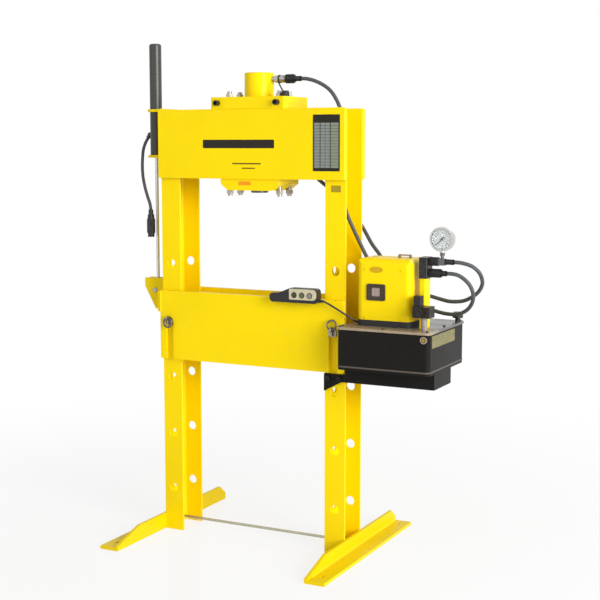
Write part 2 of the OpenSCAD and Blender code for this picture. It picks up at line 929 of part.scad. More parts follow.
module gauge_case() {
    y0 = gauge_back - gauge_depth;
    color(grey) difference() {
        union() {
            gauge_ring(gauge_d - 4, y0 + 6, gauge_back);
            gauge_ring(gauge_d, y0, y0 + 8);
            rod_z(20, gauge_z - gauge_d / 2 - 4, gauge_z - gauge_d / 2 + 6, gauge_x, port_y);
        }
        gauge_ring(gauge_d - 12, y0 - 1, y0 + 12);
        gauge_ring(4.1, y0 + 11, y0 + 20);
    }
}

module gauge_lens() {
    color("white", 0.4) gauge_ring(gauge_d - 12, gauge_back - gauge_depth + 1,
        gauge_back - gauge_depth + 3);
}

// Pointer at the low end of its scale, on a short staff
module gauge_needle() {
    y0 = gauge_back - gauge_depth;
    color(dark) {
        gauge_ring(4, y0 + 6, y0 + 18);
        gauge_ring(10, y0 + 6.5, y0 + 9.5);
        translate([gauge_x, 0, gauge_z]) rotate([0, -135, 0]) plate_xz(y0 + 9, 2)
            polygon([[-3, -12], [3, -12], [1, 34], [-1, 34]]);
    }
}

// ---- pendant ----

module cord_glands() {
    y0 = shroud_y + shroud_d;
    color(dark) {
        rod_y(16, y0, y0 + 12, gland_x, gland_z);
        translate([gland_x, y0 + 20, gland_z]) rotate([90, 0, 0])
            cylinder(d1 = 10, d2 = 16, h = 8);
        rod_y(22, y0, y0 + 12, mains_x, mains_z);
        translate([mains_x, y0 + 20, mains_z]) rotate([90, 0, 0])
            cylinder(d1 = 14, d2 = 20, h = 8);
    }
}

module pendant_outline() {
    head_l = 140;
    translate([pendant_l - head_l, 0]) rounded_rect([head_l, 62], 16);
    rounded_rect([pendant_l - 40, 38], 16);
    polygon([[40, 38], [pendant_l - head_l + 12, 61.4], [pendant_l - 40, 38], [60, 10]]);
}

module pendant_body() {
    color(dark) difference() {
        union() {
            plate_xz(pendant_y, pendant_t)
                translate([pendant_x, pendant_z]) pendant_outline();
            translate([pendant_x + pendant_l - 2, pendant_y - pendant_t / 2, 1092]) rotate([0, 90, 0])
                cylinder(d1 = 16, d2 = 10, h = 22);
            box([190, pendant_y - 1, 1088], [240, -bed_y - plate_t, bed_top + 2]);
            box([190, pendant_y - 1, bed_top], [240, 2 - bed_y, bed_top + 2]);
            box([190, -bed_y, bed_top - 24], [240, 2 - bed_y, bed_top + 2]);
        }
        for (x = button_x) {
            rod_y(button_d + 0.6, pendant_y - pendant_t - 1, pendant_y - pendant_t + 14,
                x, button_z);
        }
    }
}

module pendant_button(i, tint) {
    face = pendant_y - pendant_t;
    color(tint) {
        rod_y(button_d, face - 2.5, face + 10, button_x[i], button_z);
        rod_y(button_d - 3, face - 3.5, face - 2.5, button_x[i], button_z);
    }
}

module button_start() {
    pendant_button(0, "olive");
}

module button_advance() {
    pendant_button(1, "darkolivegreen");
}

module button_retract() {
    pendant_button(2, "gray");
}

module pendant_lead() {
    color(dark) tube(lead_route, cord_d, 8);
}

module pendant_cord() {
    color(dark) {
        tube(cord_route, cord_d, 8);
        tube(tail_route, cord_d, 8);
    }
}

module pendant_coil() {
    half = coil_turns * cord_d / 2;
    color(dark) translate([coil_pos.x, coil_pos.y, lid_top])
        rotate_extrude() translate([coil_r - half, 0.2]) rounded_rect([2 * half, 2 * half], 4);
}

upright_left();
upright_right();
foot_left();
foot_right();
base_tie_rod();
bolster_front();
bolster_rear();
head_top_plate();
head_bottom_plate();
head_tie_rods();
socket_screws();
cylinder_barrel();
cylinder_gland();
ram();
ram_saddle();
quick_couplers();
hose_fittings();
dust_cap();
advance_hose();
retract_hose();
lift_barrel();
lift_mount();
lift_rod();
lift_clevis_pin();
lift_hose();
lift_coupler();
bed_front();
bed_rear();
bed_spacers();
bed_lift_bracket();
bed_pin_left();
bed_pin_right();
pull_ring_left();
pull_ring_right();
shelf_arm_front();
shelf_arm_rear();
shelf_cross_plates();
reservoir();
reservoir_lid();
breather_cap();
pump_element();
motor_shroud();
motor_body();
motor_rotor();
lifting_handle();
valve_manifold();
valve_head();
solenoid_coil();
gauge_adaptor();
gauge_case();
gauge_lens();
gauge_needle();
cord_glands();
pendant_body();
button_start();
button_advance();
button_retract();
pendant_lead();
pendant_cord();
pendant_coil();
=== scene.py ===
"""Hydraulic workshop press: hoses, fittings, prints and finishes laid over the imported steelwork."""
import math
from contextlib import contextmanager

import bmesh
import bpy
from bpy.props import FloatProperty, FloatVectorProperty, IntProperty, PointerProperty
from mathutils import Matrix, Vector


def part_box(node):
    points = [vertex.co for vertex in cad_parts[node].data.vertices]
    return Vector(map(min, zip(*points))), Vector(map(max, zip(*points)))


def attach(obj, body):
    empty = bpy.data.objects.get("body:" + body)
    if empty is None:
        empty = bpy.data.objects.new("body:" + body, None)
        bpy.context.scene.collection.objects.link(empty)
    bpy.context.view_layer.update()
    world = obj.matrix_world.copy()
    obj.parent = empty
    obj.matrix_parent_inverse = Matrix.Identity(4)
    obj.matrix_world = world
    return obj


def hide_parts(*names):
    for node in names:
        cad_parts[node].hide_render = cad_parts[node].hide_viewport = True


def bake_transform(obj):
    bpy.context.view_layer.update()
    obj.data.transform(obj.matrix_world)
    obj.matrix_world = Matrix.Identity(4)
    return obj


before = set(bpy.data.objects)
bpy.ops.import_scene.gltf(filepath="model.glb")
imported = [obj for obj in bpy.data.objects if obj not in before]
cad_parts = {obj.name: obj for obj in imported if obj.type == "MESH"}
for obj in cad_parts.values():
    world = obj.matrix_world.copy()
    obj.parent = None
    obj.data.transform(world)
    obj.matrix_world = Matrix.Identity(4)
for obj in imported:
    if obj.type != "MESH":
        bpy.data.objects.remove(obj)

bl_info = {
    "name": "Hydraulic Workshop Press",
    "version": (1, 0, 0),
    "blender": (4, 5, 0),
    "location": "View3D > Sidebar > Press",
    "description": "Dresses a shop press with its hoses, fittings, prints and paint",
    "category": "Object",
}

MM = 0.001
UPRIGHT = (math.pi / 2, 0, 0)  # turns a flat piece to face the front

# Hose routes in millimetres, from one fitting to the other.
ADVANCE_ROUTE = [
    (200, 0, 2016), (228, 0, 2014), (264, 0, 2005), (304, 0, 1987), (338, 0, 1962),
    (364, 0, 1927), (382, 0, 1888), (394, 0, 1838), (398, 0, 1740), (398, 0, 1610),
    (402, 0, 1510), (414, 4, 1450), (436, 20, 1388), (460, 38, 1325), (486, 52, 1266),
    (522, 56, 1212), (574, 56, 1168), (636, 54, 1140), (702, 53, 1126), (767, 52, 1118),
    (814, 50, 1108), (863, 42, 1101), (920, 32, 1107), (962, 22, 1126), (996, 10, 1153),
    (1016, -8, 1190), (1010, -28, 1230), (984, -46, 1258), (945, -60, 1271), (915, -66, 1273),
]
RETRACT_ROUTE = [
    (190, 0, 1640), (212, 2, 1637), (233, 11, 1626), (249, 28, 1609), (263, 51, 1588),
    (283, 77, 1563), (310, 99, 1532), (346, 114, 1491), (389, 120, 1443), (434, 119, 1390),
    (482, 108, 1322), (524, 95, 1278), (562, 84, 1228), (602, 78, 1176), (650, 75, 1128),
    (706, 73, 1088), (764, 68, 1062), (814, 58, 1051), (864, 44, 1048), (908, 30, 1054),
    (948, 14, 1076), (976, -10, 1110), (986, -34, 1148), (974, -52, 1188), (940, -62, 1218),
    (910, -66, 1226), (885, -66, 1226),
]
LIFT_ROUTE = [
    (-571, 0, 1770), (-584, -2, 1748), (-593, -7, 1718), (-594, -13, 1680), (-590, -22, 1635),
    (-580, -31, 1588), (-564, -40, 1544), (-547, -47, 1506), (-534, -50, 1478), (-529, -50, 1450),
]
PENDANT_ROUTE = [
    (367, -125.5, 1092), (385, -126, 1085), (410, -126, 1073), (435, -125, 1060),
    (455, -122, 1048), (475, -119, 1036), (494, -107, 1021), (503, -84, 1010),
    (504, -50, 1006.2), (504, 0, 1006.2), (510, 34, 1006.2), (528, 68, 1006.2),
    (547, 96, 1006.2),
]
PENDANT_TAIL = [(568, 112, 1027), (565, 98, 1030.2), (562, 80, 1030.2), (560, 60, 1030.2)]
COIL_CENTRE = (612, 120)
COIL_RADII = (52, 44, 36)
COIL_FLOORS = (1006.2, 1014.2, 1022.2)
COIL_START = -156  # degrees
COIL_POINTS = 28  # on each turn
COIL_STAY = 0.8  # the share of a turn before the cord eases across to the next one

# Fineness of the hoses and the cord.
SPLINE_STEPS = 24  # between two points of a route
STEP_SHARE = 0.6  # of the diameter, from one ring of a tube to the next
CORD_FACETS = 12

# What the finishes follow, in metres, and the dust on them.
COIL_TUBE = 0.05  # the bare tube below the coil, from its foot
WORN_DEPTH = 0.02  # the bed's rubbed edge, from its top
PALE_DUST, DARK_DUST = (0.62, 0.55, 0.36), (0.16, 0.155, 0.15)  # on yellow and on black

# The stage: a lamp's place, its size and its share of the key's power; the floor, in metres.
STUDIO_LAMPS = (("key", (8.4, -3.6, 3.0), 5.5, 1.0), ("fill", (-3.4, -6.6, 4.6), 4.5, 0.06),
                ("back", (1.0, 4.2, 4.2), 3.0, 0.03))
SENSOR_WIDE, FAR_CLIP = 36.0, 100
WHITE = (1, 1, 1, 1)
FLOOR_COLOUR = (0.88, 0.88, 0.88)
FLOOR_WIDE, FLOOR_DROP = 40, 0.0004
FLOOR_CLEAR = 0.76  # how far the floor is cleared to white near the press
CLEAR_FROM, CLEAR_TO = 0.9, 3.6

# Weld beads, in metres.
RIPPLE = 0.007  # from one ripple to the next
BEAD_NECK = 0.82  # of the radius, between two ripples
FINE_BEAD = 0.8  # of the radius, on the short seams
BOLSTER_SEAT = 0.02  # from a bolster's outer face to the upright's flange
STOP_SHORT = 0.004  # from the end of a seam
BED_DROP, BRACKET_DROP = 0.008, 0.01  # from the bed's top to where its beads end
BRACKET_SEAM = 0.012  # from the bracket's right end
BRACKET_FACES = (-0.026, -0.014, 0.014, 0.026)

# Prints on the front, in metres: two corners or a middle on X and Z.
CHART_PLATE = ((0.308, 1.630), (0.430, 1.862))
CHART_COLUMNS = ((0.313, 0.340), (0.342, 0.386), (0.388, 0.425))
CHART_MIDDLE, CHART_TALL, CHART_LINE = 1.736, 0.186, 0.0007
CHART_CORNER, HEAD_CORNER = 0.003, 0.002
LINE_RISE, CELL_RISE = 0.2, 0.4  # of the film's thickness
BANDS = ((((-0.221, 1.724), (0.126, 1.760)), "film black"),
         (((-0.076, 1.656), (0.062, 1.662)), "film brown"),
         (((-0.030, 1.637), (0.034, 1.642)), "film brown"))
BAND_CORNER = 0.14  # of the band's height
HEAD_PATCH = ((-0.052, 0.022), (0.008, 0.038))  # heights from the plate's bottom
TAG_PLATE, TAG_THICK = ((0.383, 1.544), (0.426, 1.571)), 0.0012
BLANK_RIM = (0.002, 0.0004)  # a lip's width, and how deep the rest is sunk
RIVET_XS, RIVET_Z, RIVET_RADIUS = (0.3862, 0.4228), 1.5575, 0.0016
RIVET_FOOT, RIVET_TOP = 0.001, 0.0022  # off the upright

# Hose ends, in metres.
LOWER_PORT_Z = 1.640
VALVE_PORT_Y, ADVANCE_PORT_Z, RETRACT_PORT_Z = -0.066, 1.273, 1.226
PORT_GAP = 0.0005  # from the valve's port to its collars
TOP_COLLAR, HAND_COLLAR, FERRULE = 0.0187, 0.0172, 0.0113  # radii
BARREL_COLLARS = ((0.1305, 0.1665), (0.1305, 0.1585))  # from and to on X, upper and lower
VALVE_COLLARS = (0.8605, 0.8515)  # to on X, retract and advance
FERRULES = ((0.172, 0.200), (0.164, 0.190), (0.8805, 0.915), (0.8665, 0.885))
KNURL_GAP, KNURL_RISE, COLLAR_FACE = 0.0004, 0.0007, 0.12  # the last one of the radius
CRIMPED, CRIMP = (2, 3, 5, 6), 0.9  # ninths of a ferrule's length, and a share of its radius
LIFT_GRIP, GRIP_GAP, GRIP_SUNK = 0.0184, 0.0005, 0.0004
GRIP_FROM, GRIP_TO = 0.02, 0.045  # from the coupler's bottom and from its top

# The pump's front and side, in metres. A field is two corners on X and Z, tops and feet are
# how far off the shroud or the tank, and a rim is a lip's width and a depth.
PANEL, PANEL_ROUND = ((0.561, 1.108), (0.643, 1.176)), 0.0006
PANEL_TOP, PANEL_FOOT, PANEL_CORNER, PANEL_RIM = 0.005, -0.002, 0.008, (0.005, 0.0015)
SCREEN = ((0.585, 1.126), (0.619, 1.160))
SCREEN_TOP, SCREEN_FOOT, SCREEN_CORNER, SCREEN_RIM = 0.0043, 0.003, 0.004, (0.0025, 0.0006)
LAMPS = ((0.5725, 1.134), (0.632, 1.143), (0.5725, 1.152))
LAMP_TOP, LAMP_FOOT, LAMP_RADIUS = 0.0046, 0.0035, 0.0024
BADGE_CENTRE, BADGE_SIZE, BADGE_OFF = (0.602, 1.234), (0.029, 0.0125, 0.0016), 0.0004
SCREW_FACETS, SCREW_SEAT = 28, 0.0005  # a screw's facets, and how deep its foot stands
LID_SCREW = (0.005, 0.0065, 0.0048, 0.0018, 0.0022)  # height, radii, lip, socket
SHROUD_SCREW = (0.0035, 0.006, 0.0045, 0.0016, 0.002)
LID_SCREW_INSET, ODD_SCREW_YS = 0.016, (-0.165, 0.0)
SHROUD_SCREW_INSET, SHROUD_SCREW_FOOT, SHROUD_SCREW_TOP = 0.04, 0.022, 0.045
# The band round the shroud's foot is painted shade: a dark band where the shroud's bottom edge shades
# the lid.
SHROUD_SHADE_BAND = (-0.0117, 0.013, 0.0008, 0.026)  # a band's bottom and top, how proud it is, its corner
TANK_SEAM, SEAM_ROUND = (0.010, 0.017, 0.0016, 0.02), 0.0012
BAND_WALL = 0.0026  # a band's own wall
SIGHT_X, SIGHT_Z, SIGHT_RADIUS = 0.845, 0.972, 0.0144
SIGHT_TOP, SIGHT_FOOT = 0.0003, 0.0005  # off the tank's fittings, and off its wall
SIGHT_RIM, SIGHT_ROUND, GLASS_DEPTH = (0.0046, 0.0036), 0.0008, 0.002
TANK_SETBACK = 0.008  # from the front of the tank's fittings to its wall
TANK_PATCH = ((-0.172, 0.934), (0.092, 0.984))  # Y and Z
PATCH_TOP, PATCH_FOOT, PATCH_CORNER, PATCH_RIM = 0.0008, -0.0004, 0.006, (0.003, 0.0002)

# The dial, in degrees and metres.
SWEEP_START, SWEEP = -135, 270
MARK_COUNT, MARKS_A_NUMBER = 32, 4
DIAL_DEPTH, DIAL_RADIUS, PRINT_RADIUS, NUMBER_RADIUS = 0.0119, 0.0436, 0.0385, 0.0265
CARD_THICK, DIAL_RIM, FINE_GAP = 0.001, 0.0045, 0.0001
LONG_MARK, SHORT_MARK = (0.0058, 0.0005), (0.003, 0.0003)  # length and half width
NUMBER_TALL, INK_THICK = 0.0058, 0.0003

# The pendant, in metres.
KEYS = ("button_start", "button_advance", "button_retract")
FACE_PLATE, PLATE_THICK, PLATE_ROUND = ((0.216, 1.0945), (0.343, 1.1405)), 0.0025, 0.0009
PLATE_ENDS = ((1, 0.018, 8), (-1, 0.004, 3))  # the right and the left end: corners and steps
CUT_REACH = 0.02  # of the keys' holes, to both sides
KEY_GAP, COLLAR_GAP, COLLAR_WIRE, COLLAR_REST = 0.0007, 0.0018, 0.0009, 0.0026


# ---- settings

class PressFinishes(bpy.types.PropertyGroup):
    """Colours and sheen of the press"""
    yellow: FloatVectorProperty(name="Yellow", description="Machine enamel", subtype="COLOR",
                                size=3, default=(0.94, 0.69, 0.0015), min=0, max=1)
    black: FloatVectorProperty(name="Black", description="Tank and shelf enamel", subtype="COLOR",
                               size=3, default=(0.009, 0.0082, 0.0075), min=0, max=1)
    cream: FloatVectorProperty(name="Cream", description="Pendant face plate", subtype="COLOR",
                               size=3, default=(0.56, 0.51, 0.34), min=0, max=1)
    hose: FloatVectorProperty(name="Hose", description="Hose cover", subtype="COLOR", size=3,
                              default=(0.055, 0.06, 0.066), min=0, max=1)
    enamel_roughness: FloatProperty(name="Enamel roughness", description="Gloss of the enamel",
                                    default=0.32, min=0.05, max=1)


class PressHoses(bpy.types.PropertyGroup):
    """Sizes of the hoses and the pendant's cord"""
    hose_diameter: FloatProperty(name="Hose", description="Outside diameter of the main hoses",
                                 default=0.016, min=0.008, max=0.02, unit="LENGTH")
    lift_diameter: FloatProperty(name="Lift hose", description="Outside diameter of the lift hose",
                                 default=0.014, min=0.008, max=0.02, unit="LENGTH")
    cord_diameter: FloatProperty(name="Cord", description="Outside diameter of the pendant cord",
                                 default=0.008, min=0.005, max=0.01, unit="LENGTH")
    cord_length: FloatProperty(name="Cord length", description="Pendant cord, end to end",
                               default=3.0, min=1, max=6, unit="LENGTH")
    around: IntProperty(name="Facets", description="Facets round a hose", default=18, min=8, max=32)


class PressDetails(bpy.types.PropertyGroup):
    """Sizes of the small pieces"""
    weld: FloatProperty(name="Weld bead", description="Radius of the weld beads", default=0.0045,
                        min=0.002, max=0.008, unit="LENGTH")
    print_depth: FloatProperty(name="Print depth", description="Thickness of the printed films",
                               default=0.0005, min=0.0002, max=0.002, unit="LENGTH")
    chart_rows: IntProperty(name="Chart rows", description="Rows on the rating chart", default=15,
                            min=4, max=30)


class PressStage(bpy.types.PropertyGroup):
    """Camera and light"""
    camera_place: FloatVectorProperty(name="Camera", description="Where the camera stands",
                                      subtype="TRANSLATION", size=3, default=(2.625, -4.839, 1.735))
    aim: FloatVectorProperty(name="Aim", description="Point in the middle of the view",
                             subtype="TRANSLATION", size=3, default=(0.195, 0.0, 1.075))
    lens: FloatProperty(name="Lens", description="Focal length", default=76.0, min=20, max=200)
    key_power: FloatProperty(name="Key light", description="Power of the main lamp", default=900,
                             min=0, max=5000, subtype="POWER")
    sky: FloatProperty(name="Sky", description="Strength of the even light", default=0.53,
                       min=0, max=2)


# ---- modelling by hand

def nothing_selected():
    for obj in list(bpy.context.selected_objects):
        obj.select_set(False)


def choose(obj):
    nothing_selected()
    obj.select_set(True)
    bpy.context.view_layer.objects.active = obj


def freeze(obj):
    choose(obj)
    bpy.ops.object.transform_apply(location=True, rotation=True, scale=True)
    return obj


def made(primitive, name, scale=(1, 1, 1), **settings):
    """A new object from one of Blender's primitives, with its place, turn and scale applied."""
    nothing_selected()
    primitive(**settings)
    obj = bpy.context.object
    obj.name = name
    obj.scale = scale
    return freeze(obj)


def new_block(name, low, high):
    """A block between two corners, in metres."""
    low, high = Vector(low), Vector(high)
    return made(bpy.ops.mesh.primitive_cube_add, name, high - low, size=1,
                location=(low + high) / 2)


def new_rod(name, start, end, radius, facets=48, end_radius=None):
    """A rod or a cone between two points, in metres."""
    start, end = Vector(start), Vector(end)
    return made(bpy.ops.mesh.primitive_cone_add, name, vertices=facets, radius1=radius,
                radius2=radius if end_radius is None else end_radius,
                depth=(end - start).length, location=(start + end) / 2,
                rotation=(end - start).to_track_quat("Z", "Y").to_euler())


@contextmanager
def editing(obj):
    choose(obj)
    bpy.ops.object.mode_set(mode="EDIT")
    yield
    bpy.ops.object.mode_set(mode="OBJECT")


def pick_faces(obj, wanted):
    """In edit mode, selects only the faces that wanted(centre, normal) agrees to."""
    bpy.ops.mesh.select_all(action="DESELECT")
    bpy.ops.mesh.select_mode(type="FACE")
    mesh = bmesh.from_edit_mesh(obj.data)
    for face in mesh.faces:
        face.select_set(bool(wanted(face.calc_center_median(), face.normal)))
    bmesh.update_edit_mesh(obj.data)


def pick_edges(obj, wanted):
    """In edit mode, selects only the edges that wanted(one end, other end) agrees to."""
    bpy.ops.mesh.select_all(action="DESELECT")
    bpy.ops.mesh.select_mode(type="EDGE")
    mesh = bmesh.from_edit_mesh(obj.data)
    for edge in mesh.edges:
        edge.select_set(bool(wanted(edge.verts[0].co, edge.verts[1].co)))
    bmesh.update_edit_mesh(obj.data)


def pick_points(obj, wanted):
    """In edit mode, selects only the points that wanted(place) agrees to."""
    bpy.ops.mesh.select_all(action="DESELECT")
    bpy.ops.mesh.select_mode(type="VERT")
    mesh = bmesh.from_edit_mesh(obj.data)
    for vertex in mesh.verts:
        vertex.select_set(wanted(vertex.co))
    bmesh.update_edit_mesh(obj.data)


def along(axis):
    """A test for edges that run along X, Y or Z (0, 1 or 2)."""
    def test(a, b):
        run = b - a
        return abs(run[axis]) > 0.95 * run.length
    return test


def facing(axis, side):
    return lambda centre, normal: normal[axis] * side > 0.9


def push(amount):
    """In edit mode, moves the selection by a vector in metres, with new walls behind it."""
    bpy.ops.mesh.extrude_region_move(TRANSFORM_OT_translate={"value": amount})


def cut_plate(name, low, high, axis, corner, steps):
    """A plate between two corners, with its edges along X, Y or Z (0, 1 or 2) rounded."""
    plate = new_block(name, low, high)
    with editing(plate):
        pick_edges(plate, along(axis))
        bpy.ops.mesh.bevel(offset=corner, segments=steps)
    return plate


def sink(obj, axis, side, lip, depth):
    """Leaves a lip round the face on one side of a piece and sinks the rest of that face."""
    amount = [0.0] * 3
    amount[axis] = -side * depth
    with editing(obj):
        pick_faces(obj, facing(axis, side))
        bpy.ops.mesh.inset(thickness=lip)
        push(amount)
    return obj


def front_plate(name, face, field, top, foot=0.0, corner=0.0, steps=3, rim=None):
    """A flat piece on a front face. Its field is two corners on X and Z, its top and foot are
    how far it stands off the face, and a rim is a lip's width and how deep the rest is sunk."""
    (x0, z0), (x1, z1) = field
    low, high = (x0, face - top, z0), (x1, face - foot, z1)
    plate = cut_plate(name, low, high, 1, corner, steps) if corner else new_block(name, low, high)
    return sink(plate, 1, -1, *rim) if rim else plate


def round_edges(obj, width, steps=2, limit=30):
    choose(obj)
    edge = obj.modifiers.new("rounded", "BEVEL")
    edge.width, edge.segments = width, steps
    edge.limit_method, edge.angle_limit = "ANGLE", math.radians(limit)
    bpy.ops.object.modifier_apply(modifier=edge.name)
    return obj


def smooth(obj, angle=35):
    choose(obj)
    bpy.ops.object.shade_smooth_by_angle(angle=math.radians(angle))
    return obj


def join(name, pieces):
    nothing_selected()
    for piece in pieces:
        piece.select_set(True)
    bpy.context.view_layer.objects.active = pieces[0]
    bpy.ops.object.join()
    pieces[0].name = name
    return pieces[0]


def coat(obj, *names):
    """Gives a new piece its finishes by name, the first one all over."""
    obj.data.materials.clear()
    for name in names:
        obj.data.materials.append(finishes[name])
    return obj


def coat_faces(obj, index, wanted):
    for face in obj.data.polygons:
        if wanted(face.center, face.normal):
            face.material_index = index


def mount(obj, body):
    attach(obj, body)
    return obj


def fit(obj, finish, body):
    """Paints a finished piece and mounts it on its body."""
    return mount(coat(obj, finish), body)


def corners(node):
    low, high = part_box(node)
    return Vector(low), Vector(high)


# ---- finishes

class Nodes:
    """The node tree of a material or a world, while it is wired."""

    def __init__(self, owner):
        owner.use_nodes = True
        self.tree = owner.node_tree

    def wire(self, value, socket):
        if isinstance(value, bpy.types.NodeSocket):
            self.tree.links.new(value, socket)
        else:
            socket.default_value = value

    def fill(self, node, sources):
        """Wires or sets a node's sockets by name or number. None leaves one as it is."""
        for key, value in sources.items():
            if value is not None:
                self.wire(value, node.inputs[key])
        return node

    def add(self, kind, sources=None, **settings):
        node = self.tree.nodes.new(kind)
        for key, value in settings.items():
            setattr(node, key, value)
        return self.fill(node, sources or {})

    def arithmetic(self, operation, first, second):
        return self.add("ShaderNodeMath", {0: first, 1: second}, operation=operation).outputs[0]

    def seen(self):
        """1 for what the camera sees, straight, in metal or through glass, and 0 for all else."""
        path = self.add("ShaderNodeLightPath").outputs
        most = path["Is Camera Ray"]
        for ray in ("Is Glossy Ray", "Is Transmission Ray"):
            most = self.arithmetic("MAXIMUM", most, path[ray])
        return most

    def whiten(self, share, lit, white, end):
        """Shows the white shader in place of the lit one, by a share from 0 to 1."""
        mix = self.add("ShaderNodeMixShader", {0: share, 1: lit.outputs[0], 2: white.outputs[0]})
        self.wire(mix.outputs[0], self.tree.nodes[end].inputs[0])


class Finish(Nodes):
    """A material being mixed, with its shader and the coordinates it reads."""

    def __init__(self, name, coordinates="Object"):
        self.material = bpy.data.materials.new(name)
        super().__init__(self.material)
        self.shader = self.tree.nodes["Principled BSDF"]
        self.place = self.add("ShaderNodeTexCoord").outputs[coordinates]

    def stretched(self, scale, turn=(0, 0, 0)):
        return self.add("ShaderNodeMapping", {"Vector": self.place, "Scale": scale,
                                              "Rotation": turn}).outputs[0]

    def noise(self, scale, detail=3.0, roughness=0.5, place=None):
        return self.add("ShaderNodeTexNoise", {
            "Vector": place or self.place, "Scale": scale, "Detail": detail,
            "Roughness": roughness}).outputs[0]

    def wave(self, scale, direction, distortion, place):
        return self.add("ShaderNodeTexWave", {
            "Vector": place, "Scale": scale, "Distortion": distortion},
            bands_direction=direction).outputs["Fac"]

    def between(self, source, low, high, out_low=0.0, out_high=1.0):
        return self.add("ShaderNodeMapRange", {
            "Value": source, "From Min": low, "From Max": high, "To Min": out_low,
            "To Max": out_high}).outputs[0]

    def sum(self, first, second):
        return self.arithmetic("ADD", first, second)

    def blend(self, factor, first, second):
        return self.add("ShaderNodeMix", {0: factor, 6: colour4(first), 7: colour4(second)},
                        data_type="RGBA").outputs[2]

    def height(self, coordinate):
        return self.add("ShaderNodeSeparateXYZ", {0: self.place}).outputs[coordinate]

    def bump(self, source, depth, strength=1.0, under=None):
        return self.add("ShaderNodeBump", {"Height": source, "Distance": depth,
                                           "Strength": strength, "Normal": under}).outputs[0]

    def done(self, **sockets):
        for key, value in sockets.items():
            socket = self.shader.inputs[key.replace("_", " ")]
            self.wire(colour4(value) if key == "Base_Color" else value, socket)
        return self.material


def colour4(value):
    if isinstance(value, bpy.types.NodeSocket):
        return value
    return (*tuple(value)[:3], 1.0)


def shade(colour, factor):
    return tuple(min(1.0, c * factor) for c in colour)


def sprayed(f, colour, dust, peel):
    """What every enamel has: slow clouds and the colour they give, fine dust, orange peel."""
    clouds = f.noise(2.3, 4.0, 0.55)
    base = f.blend(f.between(clouds, 0.35, 0.7), shade(colour, 0.955), shade(colour, 1.03))
    settled = f.between(f.noise(34.0, 6.0, 0.62), 0.56, 0.78, 0.0, dust)
    return clouds, base, settled, f.bump(f.noise(420.0, 2.0, 0.5), peel, 0.35)


def enamel(name, colour, roughness, peel=0.00025, dust=0.06, scuffs=0.35, sheen=0.09):
    """Sprayed enamel: cloudy in depth, with orange peel, fine dust and a few hairline scuffs."""
    f = Finish(name)
    clouds, base, settled, fine = sprayed(f, colour, dust, peel)
    base = f.blend(settled, base, PALE_DUST if colour[0] > 0.3 else DARK_DUST)
    streaks = f.noise(5.0, 2.0, 0.4, f.stretched((1.5, 1.5, 46.0), (0.5, 0.3, 0.0)))
    hairs = f.between(streaks, 0.715, 0.75, 0.0, scuffs)
    base = f.blend(hairs, base, shade(colour, 1.12) if colour[0] > 0.3 else (0.09, 0.09, 0.09))
    rough = f.sum(f.between(clouds, 0.3, 0.7, roughness - 0.05, roughness + 0.06),
                  f.between(settled, 0.0, dust, 0.0, 0.16))
    return f.done(Base_Color=base, Roughness=rough, Normal=f.bump(hairs, 0.0001, 0.5, fine),
                  Coat_Weight=0.03, Coat_Roughness=0.12, Specular_IOR_Level=sheen)


def worn_enamel(name, colour, roughness, top, depth):
    """The same enamel, rubbed through to steel along a top edge that work is laid on."""
    f = Finish(name)
    base, settled, fine = sprayed(f, colour, 0.06, 0.00025)[1:]
    near_top = f.between(f.height(2), top - depth, top, 0.0, 0.42)
    chips = f.sum(f.noise(62.0, 8.0, 0.7), near_top)
    bare = f.between(chips, 1.0, 1.03)
    base = f.blend(bare, base, (0.2, 0.17, 0.12))
    base = f.blend(settled, base, PALE_DUST)
    rough = f.between(bare, 0.0, 1.0, roughness, 0.42)
    return f.done(Base_Color=base, Roughness=rough, Metallic=bare,
                  Normal=f.bump(bare, -0.0002, 0.6, fine), Coat_Weight=0.03, Coat_Roughness=0.14,
                  Specular_IOR_Level=0.09)


def lid_browner_at_front(name, front):
    """Grey lid enamel, browner along its front strip."""
    f = Finish(name)
    cloud = f.noise(11.0, 5.0, 0.6)
    reach = f.sum(f.height(1), f.between(cloud, 0.3, 0.7, -0.06, 0.06))
    base = f.blend(f.between(reach, front + 0.02, front + 0.16), (0.34, 0.26, 0.17),
                   (0.1, 0.098, 0.085))
    spots = f.between(f.noise(48.0, 6.0, 0.65), 0.52, 0.72, 0.0, 0.5)
    base = f.blend(spots, base, (0.05, 0.045, 0.035))
    return f.done(Base_Color=base, Roughness=f.between(cloud, 0.3, 0.7, 0.18, 0.34),
                  Normal=f.bump(f.noise(380.0, 2.0, 0.5), 0.0003, 0.3), Specular_IOR_Level=0.4)


def turned_steel(name, colour, roughness, axis=2, rings=900.0, tarnish=0.15):
    """Ground or turned steel, with fine rings round one axis."""
    f = Finish(name)
    scale = [2.0, 2.0, 2.0]
    scale[axis] = rings
    lines = f.noise(1.0, 3.0, 0.6, f.stretched(scale))
    haze = f.noise(18.0, 5.0, 0.6)
    base = f.blend(f.between(haze, 0.45, 0.75, 0.0, tarnish), colour, shade(colour, 0.45))
    base = f.blend(f.between(lines, 0.3, 0.7, 0.0, 0.18), base, shade(colour, 0.7))
    rough = f.sum(f.between(lines, 0.25, 0.75, roughness - 0.05, roughness + 0.08),
                  f.between(haze, 0.4, 0.8, 0.0, 0.08))
    return f.done(Base_Color=base, Roughness=rough, Metallic=1.0,
                  Normal=f.bump(lines, 0.00005, 0.4))


